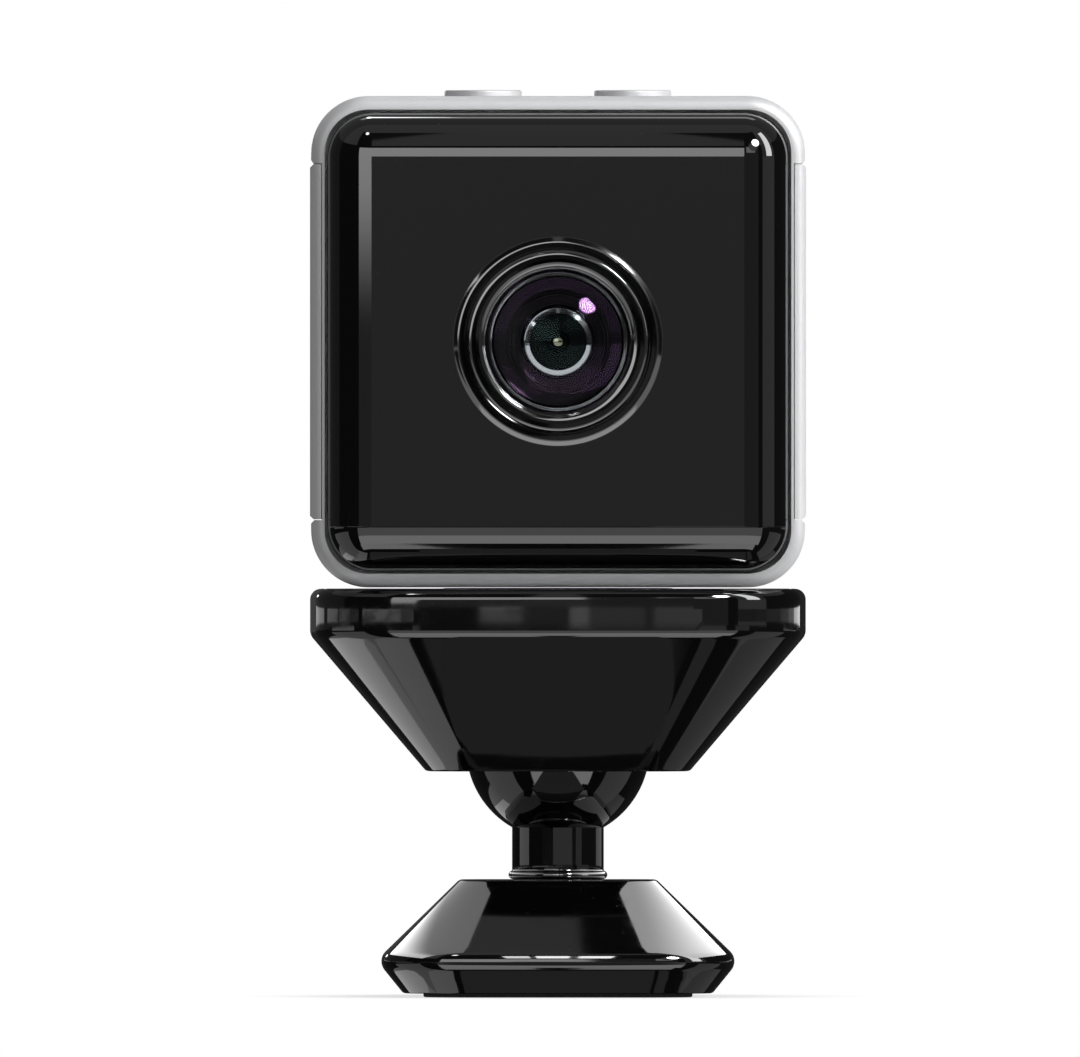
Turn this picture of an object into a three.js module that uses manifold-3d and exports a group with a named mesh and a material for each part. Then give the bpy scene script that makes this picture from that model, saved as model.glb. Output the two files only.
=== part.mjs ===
// Cube security camera on a ball-jointed magnetic stand.
// Millimetres, +Z up. The lens looks along -Y, and the origin lies on the floor under the middle of the foot.
import * as THREE from 'three';
import { mergeVertices } from 'three/addons/utils/BufferGeometryUtils.js';
import Module from 'manifold-3d';

const wasm = await Module();
wasm.setup();

// ---- Driving dimensions: stand ------------------------------------------------------------------

// Foot: a squat pyramid on a bevelled skirt. Half widths are measured to the flats.
const footTopHalf = 6.4;
const footWideHalf = 11.75;
const footBottomHalf = 10.05;
const footTopCorner = 1.9;
const footWideCorner = 5.4;
const footSkirtHeight = 2.1;
const footSlopeHeight = 5.2;
const footWall = 1.3;
const footTopThickness = 1.6;
const footTopRound = 0.35;
const footBottomRound = 0.2;
const footWideRound = 0.9;
const footLedge = 0.8;
const padProud = 0.25;
const padThickness = 0.8;
const footPlateThickness = 1.0;

// Stem and ball
const stemRadius = 2.97;
const collarRadius = 3.2;
const collarHeight = 0.55;
const ballRadius = 5.95;
const ballRise = 8.55;
const stemScrewRadius = 1.5;
const stemScrewHeadRadius = 2.6;
const stemScrewHeadHeight = 0.7;
const stemScrewLength = 10;
const washerThickness = 0.4;
const bossWall = 1.5;
const collarShoulder = 0.15;
const collarEndAngle = 75;

// Head: an inverted pyramid under a square band
const headBottomHalf = 8.55;
const headOverhang = 0.12;
const headBottomCorner = 3.4;
const headBandCorner = 7.0;
const headSlopeHeight = 8.8;
const headBandHeight = 3.0;
const headWall = 1.4;
const headBottomRound = 0.35;
const headBandRound = 0.45;
const headTopRound = 0.7;
const headRibThickness = 0.9;
const headRibStart = 7.4;
const socketLip = 1.5;
const socketRise = 1.3;
const cupThickness = 0.9;
const cupEdgeAngle = 44;
const cupHoleRadius = 1.2;
const retainerThickness = 0.75;
const retainerFlangeHalf = 8.0;
const retainerFlangeThickness = 1.0;
const retainerFlangeRise = 4.9;
const retainerScrewInset = 1.7;
const retainerBossRadius = 1.6;
const magnetRadius = 10;
const magnetThickness = 1.1;
const headCoverThickness = 1.1;
const headCoverRim = 0.9;
const gripPadRadius = 8;
const gripPadThickness = 0.6;

// ---- Driving dimensions: camera -----------------------------------------------------------------

// Housing: a rounded square sleeve, open at the front and at the back
const housingHalfX = 15.93;
const housingHalfZ = 15.85;
const housingCorner = 3.7;
const housingWall = 1.2;
const housingFrontRound = 0.45;
const housingRearRound = 0.6;
const cameraDepth = 31.65;
const rimWidth = 0.88;
const rebateDepth = 2.0;
const ledgeWidth = 1.25;
const ledgeThickness = 1.2;

// Side panels: plates let into the housing's sides, bordered by V grooves
const panelHalfHeight = 11.5;
const panelThickness = 0.66;
const panelProud = 0.07;
const grooveChamfer = 0.22;
const pegRadius = 0.8;
const pegSpreadY = 7;
const pegSpreadZ = 7.5;

// Front panel: a black cap whose rounded edge is as large as its corners
const frontRound = 2.88;
const frontWall = 1.3;
const frontGap = 0.18;
const postInset = 2.5;
const postRadius = 1.2;
const postCollar = 0.7;

// Lens
const bezelRadius = 6.72;
const bezelFlange = 0.8;
const bezelFlangeThickness = 0.8;
const outerCrestRadius = 6.45;
const middleCrestRadius = 5.68;
const innerCrestRadius = 4.97;
const crestRise = 0.2;
const crestRound = 0.18;
const valleyRound = 0.05;
const innerCrestSetback = 0.12;
const valleyDepth = 0.55;
const bezelLip = 0.3;
const glassRadius = 4.25;
const frontLensSphere = 7.2;
const frontLensBackSphere = 5.0;
const frontLensEdge = 0.9;
const lensSeatStep = 0.22;
const barrelRadius = 5.2;
const barrelLength = 8.0;
const innerRingRadius = 2.42;
const innerRingThickness = 0.5;
const innerRingSetback = 1.1;
const innerRingLand = 0.35;
const secondLensRadius = 2.9;
const secondLensThickness = 1.5;
const secondLensSphere = 5.0;
const stopRadius = 0.75;
const stopThickness = 0.3;
const rearLensThickness = 1.6;
const rearLensSphere = 6.0;
const holderHalf = 7.0;
const holderGrip = 3.0;
const holderWeb = 0.6;
const filterHalf = 2.9;
const filterThickness = 0.5;
const sensorHalfX = 3.3;
const sensorHalfZ = 2.7;
const sensorThickness = 0.9;
const sensorGap = 0.5;
const windowShare = 0.7;
const lensHollowShare = 0.72;

// Circuit boards and what they carry
const boardThickness = 1.0;
const boardMargin = 0.7;
const infraredBoardRise = 1.9;
const ledSide = 2.8;
const ledHeight = 1.6;
const ledInset = 5.3;
const sensorBoardInset = 0.4;
const processorHalf = 4.2;
const processorThickness = 0.9;
const mainBoardInset = 1.83;
const mainBoardSpacing = 1.45;
const mainBoardRise = 5.1;
const portInset = 0.5;
const standoffRadius = 1.3;
const standoffInset = 1.9;
const usbWidth = 9.0;
const usbHeight = 3.2;
const usbDepth = 7.4;
const usbSetback = 0.6;
const usbSkin = 0.35;
const usbFloor = 1.5;
const usbTongueHalf = 3.25;
const usbTongueSetback = 1.0;
const cardWidth = 12.6;
const cardHeight = 1.5;
const cardDepth = 13.0;
const cardSkinX = 0.6;
const cardSkinZ = 0.3;
const radioLength = 9.0;
const radioWidth = 12.0;
const radioHeight = 1.8;
const batteryMargin = 3.1;
const batteryHeadroom = 2.4;
const batteryRound = 2.0;
const trayThickness = 0.8;
const trayLip = 2.4;
const trayRib = 1.0;
const trayRearGap = 2.8;
const antennaLength = 12.0;
const antennaHeight = 5.0;
const antennaThickness = 0.3;
const antennaRise = 3.0;

// Rear cover
const coverThickness = 1.6;
const coverRound = 0.25;
const coverScrewInset = 2.2;
const coverBossRadius = 2.1;
const coverBossLength = 4.3;
const microphoneRadius = 2.0;
const microphoneHeight = 1.5;
const statusLightRadius = 0.9;
const statusLightFlange = 0.5;
const soundHoleRadius = 0.45;
const notchRadius = 3.0;
const notchDepth = 0.6;
const notchHalfHeight = 1.3;
const coverFeatureHeight = 9.5;
const coverFeatureSpread = 4.0;

// Push buttons on the top
const buttonRadius = 2.5;
const buttonProud = 0.5;
const buttonFlange = 0.6;
const buttonFlangeThickness = 0.8;
const buttonSpreadX = 4.85;
const buttonSetback = 19.025;
const buttonTravel = 0.3;
const buttonPlunger = 0.9;
const buttonPlungerRadius = 1.2;
const buttonRound = 0.12;
const switchSide = 3.6;
const switchHeight = 1.2;
const switchKnobRadius = 0.9;
const switchKnobHeight = 0.25;
const switchBoardInset = 2.7;
const switchBoardDepth = 7.0;
const hangerRadius = 1.2;
const hangerInset = 1.6;

// Steel disc that the magnet holds, glued to the housing's floor
const steelDiscRadius = 9.0;
const steelDiscThickness = 1.0;

// Small screws that hold the covers and boards
const smallScrewRadius = 0.8;
const smallScrewHeadRadius = 1.4;
const smallScrewHeadHeight = 0.7;
const smallScrewLength = 3.2;

// Screw heads: their chamfer and the drive recess, as shares of the head's height and radius
const headChamferShare = 0.3;
const driveFloorShare = 0.4;
const driveRadiusShare = 0.45;

// Clearances
const seatGap = 0.05;
const slideGap = 0.1;
const turnGap = 0.12;
const screwGap = 0.05;

// How far a cutting tool runs past the surface that it opens
const overrun = 1;

// Facets
const cornerSteps = 4;
const arcSteps = 3;
const crestSteps = 2;
const lensSteps = 4;
const ballFacets = 24;
const ringFacets = 28;
const roundFacets = 16;
const screwFacets = 8;

// ---- Levels and places worked out from them -------------------------------------------------------

const footBottomZ = padProud;
const footWideZ = footBottomZ + footSkirtHeight;
const footTopZ = footWideZ + footSlopeHeight;
const ballCentreZ = footTopZ + ballRise;
const headBottomZ = ballCentreZ - socketLip;
const headBandZ = headBottomZ + headSlopeHeight;
const headTopZ = headBandZ + headBandHeight;
const headBandHalf = housingHalfX + headOverhang;
const cameraBottomZ = headTopZ + slideGap;
const cameraCentreZ = cameraBottomZ + housingHalfZ;

// Along the camera, measured from its middle: the front panel's face, the housing's ends, the ledges
const frontFaceY = -cameraDepth / 2;
const rearFaceY = cameraDepth / 2;
const buttonCentreY = frontFaceY + buttonSetback;
const rimY = frontFaceY + frontRound;
const frontLedgeY = rimY + rebateDepth;
const rearLedgeY = rearFaceY - coverThickness;
const openingHalfX = housingHalfX - rimWidth;
const openingHalfZ = housingHalfZ - rimWidth;
const openingCorner = housingCorner - rimWidth;
const innerHalfX = housingHalfX - housingWall;
const innerHalfZ = housingHalfZ - housingWall;
const innerCorner = housingCorner - housingWall;
const floorZ = -innerHalfZ;
const roofZ = innerHalfZ;

// ---- Materials ----------------------------------------------------------------------------------

function finish(color, roughness, metalness) {
  return new THREE.MeshStandardMaterial({ color, roughness, metalness });
}

const silver = finish(0xc8c9cc, 0.32, 0.85);
const buttonSilver = finish(0xd4d5d8, 0.25, 0.95);
const glossBlack = finish(0x0a0a0b, 0.06, 0.0);
const panelBlack = finish(0x18181a, 0.08, 0.0);
const mattBlack = finish(0x141415, 0.55, 0.0);
const rubberBlack = finish(0x1a1a1a, 0.9, 0.0);
const lensGlass = finish(0x1b2433, 0.02, 0.0);
const steel = finish(0x9a9da1, 0.35, 1.0);
const magnetNickel = finish(0xb9bbbf, 0.25, 1.0);
const naturalPlastic = finish(0xe6e2d6, 0.45, 0.0);
const boardGreen = finish(0x1d5a3a, 0.5, 0.0);
const chipBlack = finish(0x202124, 0.5, 0.0);
const batteryFoil = finish(0xa8abb0, 0.4, 0.7);
const ledClear = finish(0xd9dde2, 0.15, 0.0);

// ---- Geometry helpers -----------------------------------------------------------------------------

// Welds a geometry into one closed skin with its faces pointing out.
function weld(geometry) {
  const bare = new THREE.BufferGeometry();
  bare.setAttribute('position', geometry.getAttribute('position').clone());
  if (geometry.index) bare.setIndex(geometry.index.clone());
  const merged = mergeVertices(bare, 1e-5);
  const position = merged.getAttribute('position');
  const index = merged.index.array;
  const corner = [new THREE.Vector3(), new THREE.Vector3(), new THREE.Vector3()];
  const kept = [];
  let volume = 0;
  for (let i = 0; i < index.length; i += 3) {
    const [a, b, c] = [index[i], index[i + 1], index[i + 2]];
    if (a === b || b === c || c === a) continue;
    [a, b, c].forEach((vertex, k) => corner[k].fromBufferAttribute(position, vertex));
    volume += corner[0].dot(corner[1].cross(corner[2]));
    kept.push(a, b, c);
  }
  if (volume < 0) kept.reverse();
  merged.setIndex(kept);
  return merged;
}

function solid(geometry) {
  const skin = weld(geometry);
  const vertProperties = new Float32Array(skin.getAttribute('position').array);
  const triVerts = new Uint32Array(skin.index.array);
  return new wasm.Manifold(new wasm.Mesh({ numProp: 3, vertProperties, triVerts }));
}

function geometryOf(body) {
  const mesh = body.getMesh();
  const geometry = new THREE.BufferGeometry();
  geometry.setAttribute('position', new THREE.BufferAttribute(mesh.vertProperties, 3));
  geometry.setIndex(new THREE.BufferAttribute(mesh.triVerts, 1));
  return geometry;
}

// A named sub-part, from a three.js geometry or from a solid that was cut or joined.
function part(name, shape, material) {
  const geometry = shape.isBufferGeometry ? weld(shape) : geometryOf(shape);
  geometry.computeVertexNormals();
  const mesh = new THREE.Mesh(geometry, material.clone());
  mesh.name = name;
  return mesh;
}

// Joins the first solid with all the others.
function join(first, ...others) {
  return others.reduce((whole, piece) => whole.add(piece), first);
}

// Takes all the others away from the first solid.
function cut(first, ...others) {
  return others.reduce((whole, piece) => whole.subtract(piece), first);
}

function arc(centreX, centreY, radius, fromDegrees, toDegrees, steps = arcSteps) {
  return Array.from({ length: steps + 1 }, (_, i) => {
    const angle = THREE.MathUtils.degToRad(fromDegrees + (toDegrees - fromDegrees) * i / steps);
    return new THREE.Vector2(centreX + radius * Math.cos(angle), centreY + radius * Math.sin(angle));
  });
}

// An outline through the given points whose corners are rounded: each point is [x, y, radius].
function roundedOutline(points, steps = arcSteps) {
  const at = points.map(([x, y]) => new THREE.Vector2(x, y));
  return points.flatMap(([, , radius = 0], i) => {
    const here = at[i];
    if (radius === 0 || i === 0 || i === points.length - 1) return [here];
    const toBefore = at[i - 1].clone().sub(here).normalize();
    const toAfter = at[i + 1].clone().sub(here).normalize();
    const halfTurn = Math.acos(THREE.MathUtils.clamp(toBefore.dot(toAfter), -1, 1)) / 2;
    const reach = radius / Math.tan(halfTurn);
    const start = here.clone().addScaledVector(toBefore, reach);
    const end = here.clone().addScaledVector(toAfter, reach);
    const towards = toBefore.clone().add(toAfter).normalize();
    const centre = here.clone().addScaledVector(towards, radius / Math.sin(halfTurn));
    const from = start.clone().sub(centre).angle();
    let sweep = end.clone().sub(centre).angle() - from;
    if (sweep > Math.PI) sweep -= 2 * Math.PI;
    if (sweep < -Math.PI) sweep += 2 * Math.PI;
    const degrees = THREE.MathUtils.radToDeg;
    return arc(centre.x, centre.y, radius, degrees(from), degrees(from + sweep), steps);
  });
}

// One level of a loft: a rectangle with round corners.
function level(z, halfX, halfY, corner) {
  return { z, halfX, halfY, corner: Math.max(corner, 0.03) };
}

// A closed solid through rounded rectangles, from the lowest level to the highest.
function loft(levels) {
  const positions = [];
  const index = [];
  const ring = 4 * (cornerSteps + 1);
  levels.forEach(({ z, halfX, halfY, corner }) => {
    [[1, 1, 0], [-1, 1, 90], [-1, -1, 180], [1, -1, 270]].forEach(([signX, signY, from]) => {
      const centreX = signX * (halfX - corner);
      const centreY = signY * (halfY - corner);
      arc(centreX, centreY, corner, from, from + 90, cornerSteps).forEach(({ x, y }) => {
        positions.push(x, y, z);
      });
    });
  });
  for (let k = 1; k < levels.length; k++) {
    for (let i = 0; i < ring; i++) {
      const next = (i + 1) % ring;
      const [below, above] = [(k - 1) * ring, k * ring];
      index.push(below + i, below + next, above + next, below + i, above + next, above + i);
    }
  }
  const top = (levels.length - 1) * ring;
  for (let i = 1; i < ring - 1; i++) {
    index.push(0, i + 1, i, top, top + i, top + i + 1);
  }
  const geometry = new THREE.BufferGeometry();
  geometry.setAttribute('position', new THREE.Float32BufferAttribute(positions, 3));
  geometry.setIndex(index);
  return geometry;
}

// A loft that runs along the camera: each level's z becomes y, towards the back.
function loftAlongY(levels) {
  return loft(levels).rotateX(-Math.PI / 2);
}

// A rounded rectangular prism between two places along the camera.
function sleeve(halfX, halfZ, corner, fromY, toY) {
  return solid(loftAlongY([level(fromY, halfX, halfZ, corner), level(toY, halfX, halfZ, corner)]));
}

function box(fromX, toX, fromY, toY, fromZ, toZ) {
  const geometry = new THREE.BoxGeometry(toX - fromX, toY - fromY, toZ - fromZ);
  return geometry.translate((fromX + toX) / 2, (fromY + toY) / 2, (fromZ + toZ) / 2);
}

// A box given by its middle and width in X, and by its faces in Y and Z.
function block(centreX, width, fromY, toY, fromZ, toZ) {
  return box(centreX - width / 2, centreX + width / 2, fromY, toY, fromZ, toZ);
}

// A turned shape about the vertical axis: the profile's points are (radius, z).
function turnedZ(profile, facets) {
  return new THREE.LatheGeometry(profile, facets).rotateX(Math.PI / 2);
}

// A turned shape about the lens axis: the profile's points are (radius, y).
function turnedY(profile, facets) {
  return new THREE.LatheGeometry(profile, facets);
}

// How far a spherical cap of that radius stands out from its edge
function sagitta(radius, sphere) {
  return sphere - Math.sqrt(sphere ** 2 - radius ** 2);
}

function points(...pairs) {
  return pairs.map(([x, y]) => new THREE.Vector2(x, y));
}

// Cylinders along Z and along Y
function rodZ(radius, fromZ, toZ, x = 0, y = 0, facets = roundFacets) {
  const geometry = new THREE.CylinderGeometry(radius, radius, toZ - fromZ, facets).rotateX(Math.PI / 2);
  return geometry.translate(x, y, (fromZ + toZ) / 2);
}

function rodY(radius, fromY, toY, x = 0, z = 0, facets = roundFacets) {
  return new THREE.CylinderGeometry(radius, radius, toY - fromY, facets).translate(x, (fromY + toY) / 2, z);
}

function rodX(radius, fromX, toX, y, z, facets = roundFacets) {
  const geometry = new THREE.CylinderGeometry(radius, radius, toX - fromX, facets).rotateZ(Math.PI / 2);
  return geometry.translate((fromX + toX) / 2, y, z);
}

// Tools that cut a round hole a little past both of its ends
function holeZ(radius, fromZ, toZ, x = 0, y = 0, facets = screwFacets) {
  return solid(rodZ(radius, fromZ - overrun, toZ + overrun, x, y, facets));
}

function holeY(radius, fromY, toY, x = 0, z = 0, facets = screwFacets) {
  return solid(rodY(radius, fromY - overrun, toY + overrun, x, z, facets));
}

function ball(radius, centreZ) {
  const geometry = new THREE.SphereGeometry(radius, ballFacets, ballFacets / 2);
  return geometry.rotateX(Math.PI / 2).translate(0, 0, centreZ);
}

// The four places of a rectangular pattern
function fourCorners(x, y) {
  return [[x, y], [-x, y], [-x, -y], [x, -y]];
}

// A screw along Z with its head's underside at z = 0 and its shank pointing down
function screwGeometry(radius, length, headRadius, headHeight) {
  const driveRadius = headRadius * driveRadiusShare;
  const driveFloor = headHeight * driveFloorShare;
  const chamfer = headHeight * headChamferShare;
  return turnedZ(points(
    [0, -length], [radius, -length], [radius, 0], [headRadius, 0],
    [headRadius, headHeight - chamfer], [headRadius - chamfer, headHeight],
    [driveRadius, headHeight], [driveRadius, driveFloor], [0, driveFloor],
  ), screwFacets);
}

function smallScrew(name) {
  const shank = [smallScrewRadius, smallScrewLength];
  return part(name, screwGeometry(...shank, smallScrewHeadRadius, smallScrewHeadHeight), steel);
}

// ---- Foot -----------------------------------------------------------------------------------------

function between(value, fromA, toA, fromB, toB) {
  return THREE.MathUtils.mapLinear(value, fromA, fromB, toA, toB);
}

// The corners of the foot and of the head are cones: their radius grows with the width.
function footCorner(half) {
  return between(half, footTopHalf, footTopCorner, footWideHalf, footWideCorner);
}

function headCorner(half) {
  return between(half, headBottomHalf, headBottomCorner, headBandHalf, headBandCorner);
}

function pyramid(outline, cornerOf) {
  return solid(loft(outline.map(({ x, y }) => level(y, x, x, cornerOf(x)))));
}

const footSlope = (footWideHalf - footTopHalf) / footSlopeHeight;
const footSideWall = footWall * Math.hypot(1, footSlope);
const footCeilingZ = footTopZ - footTopThickness;
const footPlateHalf = footBottomHalf - footWall;
const footCavityHalf = footPlateHalf - footLedge;
const footCeilingHalf = footTopHalf + footTopThickness * footSlope - footSideWall;
const footShoulderZ = footCeilingZ - (footCavityHalf - footCeilingHalf) / footSlope;
const padTopZ = padThickness;
const plateTopZ = padTopZ + seatGap + footPlateThickness;
const screwHeadZ = plateTopZ + seatGap + stemScrewHeadHeight;
const footBossZ = screwHeadZ + washerThickness + 2 * screwGap;
const footBossRadius = stemScrewRadius + turnGap + bossWall;

function baseShell() {
  const outside = pyramid(roundedOutline([
    [footBottomHalf - footWall, footBottomZ],
    [footBottomHalf, footBottomZ, footBottomRound],
    [footWideHalf, footWideZ, footWideRound],
    [footTopHalf, footTopZ, footTopRound],
    [footTopHalf - footWall, footTopZ],
  ]), footCorner);
  const plateSeat = solid(loft([
    level(-overrun, footPlateHalf, footPlateHalf, footCorner(footPlateHalf)),
    level(plateTopZ + seatGap, footPlateHalf, footPlateHalf, footCorner(footPlateHalf)),
  ]));
  const boss = solid(rodZ(footBossRadius, footBossZ, footCeilingZ + seatGap));
  const screwHole = holeZ(stemScrewRadius + turnGap, footBossZ, footTopZ, 0, 0, roundFacets);
  return part('base_shell', cut(join(cut(outside, plateSeat, footHollow(0)), boss), screwHole), glossBlack);
}

// The room above the plate, and with a gap the weight that fills it
function footHollow(gap) {
  const wide = footCavityHalf - gap;
  const narrow = footCeilingHalf - gap;
  return solid(loft([
    level(plateTopZ + seatGap, wide, wide, footCorner(wide)),
    level(footShoulderZ, wide, wide, footCorner(wide)),
    level(footCeilingZ - gap, narrow, narrow, footCorner(narrow)),
  ]));
}

function baseWeight() {
  const hole = holeZ(footBossRadius + slideGap, plateTopZ, footTopZ, 0, 0, roundFacets);
  return part('base_weight', cut(footHollow(slideGap), hole), steel);
}

function basePlate() {
  const half = footPlateHalf - seatGap;
  const low = level(padTopZ + seatGap, half, half, footCorner(half));
  return part('base_plate', loft([low, { ...low, z: plateTopZ }]), mattBlack);
}

function basePad() {
  const half = footPlateHalf - seatGap;
  const low = level(0, half, half, footCorner(half));
  return part('base_pad', loft([low, { ...low, z: padTopZ }]), rubberBlack);
}

// ---- Stem -----------------------------------------------------------------------------------------

const stemBottomZ = footTopZ + seatGap;
const washerZ = footBossZ - screwGap - washerThickness;
const screwUndersideZ = washerZ - screwGap;

// Stem, collar and ball are one turned piece, bored from below for the screw.
function ballStem() {
  const boreRadius = stemScrewRadius + screwGap;
  const boreTopZ = screwUndersideZ + stemScrewLength + slideGap;
  const neckAngle = THREE.MathUtils.radToDeg(Math.asin(stemRadius / ballRadius));
  const collarRound = collarHeight / 2;
  const collarMidZ = stemBottomZ + collarRound;
  const profile = [
    ...points([0, boreTopZ + boreRadius / 2], [boreRadius, boreTopZ], [boreRadius, stemBottomZ]),
    ...arc(collarRadius - collarRound, collarMidZ, collarRound, -90, collarEndAngle, lensSteps),
    new THREE.Vector2(stemRadius, stemBottomZ + collarHeight + collarShoulder),
    ...arc(0, ballCentreZ, ballRadius, neckAngle - 90, 90, ballFacets / 3),
  ];
  return part('ball_stem', turnedZ(profile, ballFacets), glossBlack);
}

function stemScrew() {
  const shank = [stemScrewRadius, stemScrewLength];
  const geometry = screwGeometry(...shank, stemScrewHeadRadius, stemScrewHeadHeight);
  return part('stem_screw', geometry.rotateX(Math.PI).translate(0, 0, screwUndersideZ), steel);
}

function stemWasher() {
  const bore = solid(rodZ(stemScrewRadius + screwGap, 0, footTopZ));
  const disc = solid(rodZ(stemScrewHeadRadius, washerZ, washerZ + washerThickness));
  return part('stem_washer', cut(disc, bore), steel);
}

// ---- Head -----------------------------------------------------------------------------------------

const socketRadius = ballRadius + turnGap;
const cupOuterRadius = socketRadius + cupThickness;
const retainerInnerRadius = cupOuterRadius + turnGap;
const retainerOuterRadius = retainerInnerRadius + retainerThickness;
const headSlope = (headBandHalf - headBottomHalf) / headSlopeHeight;
const headSideWall = headWall * Math.hypot(1, headSlope);
const headFloorZ = ballCentreZ + socketRise;
const headFloorHalf = headBottomHalf + (headFloorZ - headBottomZ) * headSlope - headSideWall;
const headInnerHalf = headBandHalf - headWall;
const headInnerBandZ = headFloorZ + (headInnerHalf - headFloorHalf) / headSlope;
const headCoverZ = headTopZ - headCoverThickness;
const headCoverHalf = headBandHalf - headCoverRim;
const flangeZ = ballCentreZ + retainerFlangeRise;
const flangeTopZ = flangeZ + retainerFlangeThickness;
const retainerScrewAt = retainerFlangeHalf - retainerScrewInset;
const retainerScrewPlaces = fourCorners(retainerScrewAt, retainerScrewAt);

function headShell() {
  const outside = pyramid(roundedOutline([
    [headBottomHalf - headWall, headBottomZ],
    [headBottomHalf, headBottomZ, headBottomRound],
    [headBandHalf, headBandZ, headBandRound],
    [headBandHalf, headTopZ, headTopRound],
    [headBandHalf - headWall, headTopZ],
  ]), headCorner);
  const innerCornerOf = (half) => Math.max(headCorner(half) - headWall, 1);
  const hollow = solid(loft([
    level(headFloorZ, headFloorHalf, headFloorHalf, innerCornerOf(headFloorHalf)),
    level(headInnerBandZ, headInnerHalf, headInnerHalf, innerCornerOf(headInnerHalf)),
    level(headTopZ + overrun, headInnerHalf, headInnerHalf, innerCornerOf(headInnerHalf)),
  ]));
  const coverSeat = solid(loft([
    level(headCoverZ - seatGap, headCoverHalf, headCoverHalf, headBandCorner - headCoverRim),
    level(headTopZ + overrun, headCoverHalf, headCoverHalf, headBandCorner - headCoverRim),
  ]));
  const socket = solid(ball(socketRadius, ballCentreZ));
  const bosses = retainerScrewPlaces.map(([x, y]) => (
    solid(rodZ(retainerBossRadius, headFloorZ - seatGap, flangeZ - seatGap, x, y))
  ));
  const boreFloorZ = flangeTopZ - smallScrewLength - slideGap;
  const bores = retainerScrewPlaces.map(([x, y]) => (
    solid(rodZ(smallScrewRadius + screwGap, boreFloorZ, flangeZ, x, y, screwFacets))
  ));
  const ribHalf = headRibThickness / 2;
  const plates = [[headBandHalf, ribHalf], [ribHalf, headBandHalf]].map(([x, y]) => (
    solid(box(-x, x, -y, y, headFloorZ - seatGap, flangeZ - seatGap))
  ));
  const ribRoom = solid(rodZ(headRibStart, 0, headTopZ));
  const ribs = cut(join(...plates).intersect(outside), ribRoom);
  const shell = cut(outside, hollow, coverSeat, socket);
  return part('head_shell', cut(join(shell, ribs, ...bosses), ...bores), glossBlack);
}

// A friction cup that rides on top of the ball
function pressureCup() {
  const topAngle = THREE.MathUtils.radToDeg(Math.acos(cupHoleRadius / cupOuterRadius));
  const profile = [
    ...arc(0, ballCentreZ, cupOuterRadius, cupEdgeAngle, topAngle),
    ...arc(0, ballCentreZ, socketRadius, topAngle, cupEdgeAngle),
  ];
  return part('pressure_cup', turnedZ([...profile, profile[0].clone()], ballFacets), naturalPlastic);
}

function ballRetainer() {
  const corner = retainerScrewInset;
  const flange = solid(loft([
    level(flangeZ, retainerFlangeHalf, retainerFlangeHalf, corner),
    level(flangeTopZ, retainerFlangeHalf, retainerFlangeHalf, corner),
  ]));
  const dome = solid(ball(retainerOuterRadius, ballCentreZ));
  const below = solid(box(-headBandHalf, headBandHalf, -headBandHalf, headBandHalf, 0, flangeZ));
  const room = solid(ball(retainerInnerRadius, ballCentreZ));
  const holes = retainerScrewPlaces.map(([x, y]) => (
    holeZ(smallScrewRadius + slideGap, flangeZ, flangeTopZ, x, y)
  ));
  return part('ball_retainer', cut(join(flange, dome), below, room, ...holes), mattBlack);
}

function retainerScrews() {
  return retainerScrewPlaces.map(([x, y], i) => {
    const screw = smallScrew(`retainer_screw_${i + 1}`);
    screw.position.set(x, y, flangeTopZ + seatGap);
    return screw;
  });
}

function headMagnet() {
  const topZ = headCoverZ - seatGap;
  const geometry = rodZ(magnetRadius, topZ - magnetThickness, topZ, 0, 0, ringFacets);
  return part('head_magnet', geometry, magnetNickel);
}

const gripPadTopZ = headTopZ + slideGap / 2;
const gripPadZ = gripPadTopZ - gripPadThickness;

function headCover() {
  const half = headCoverHalf - seatGap;
  const corner = headBandCorner - headCoverRim - seatGap;
  const plate = solid(loft([level(headCoverZ, half, half, corner), level(headTopZ, half, half, corner)]));
  const seatZ = gripPadZ - seatGap;
  const padSeat = solid(rodZ(gripPadRadius + slideGap, seatZ, headTopZ + overrun, 0, 0, ringFacets));
  return part('head_cover', cut(plate, padSeat), glossBlack);
}

function gripPad() {
  return part('grip_pad', rodZ(gripPadRadius, gripPadZ, gripPadTopZ, 0, 0, ringFacets), rubberBlack);
}

// ---- Places of the front panel and the boards behind it ----------------------------------------------

const frontHalfX = openingHalfX - frontGap;
const frontHalfZ = openingHalfZ - frontGap;
const frontInnerY = frontFaceY + frontWall;
const skirtHalfX = frontHalfX - frontWall;
const skirtHalfZ = frontHalfZ - frontWall;
const infraredBoardY = frontInnerY + infraredBoardRise;
const infraredHalfX = skirtHalfX - boardMargin;
const infraredHalfZ = skirtHalfZ - boardMargin;
const postPlaces = fourCorners(infraredHalfX - postInset, infraredHalfZ - postInset);

// ---- Places along the lens axis, from the front to the back -------------------------------------------

const bezelBackY = frontInnerY + seatGap + bezelFlangeThickness;
const bezelLipY = frontInnerY - seatGap;
const bezelLipBackY = bezelLipY + bezelLip;
const barrelFrontY = bezelLipBackY + seatGap;
const barrelBackY = barrelFrontY + barrelLength;
const frontLensRadius = glassRadius + lensSeatStep - seatGap;
const frontLensEdgeY = barrelFrontY + slideGap;
const frontLensBackY = frontLensEdgeY + frontLensEdge;
const frontLensApexY = frontLensEdgeY - sagitta(frontLensRadius, frontLensSphere);
const innerRingY = frontLensBackY + innerRingSetback;
const innerRingBackY = innerRingY + innerRingThickness;
const secondLensY = innerRingBackY + seatGap;
const stopY = secondLensY + secondLensThickness + seatGap;
const rearLensY = stopY + stopThickness + seatGap;
const webY = barrelBackY + slideGap;
const webBackY = webY + holderWeb;
const filterY = webBackY + seatGap;
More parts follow.
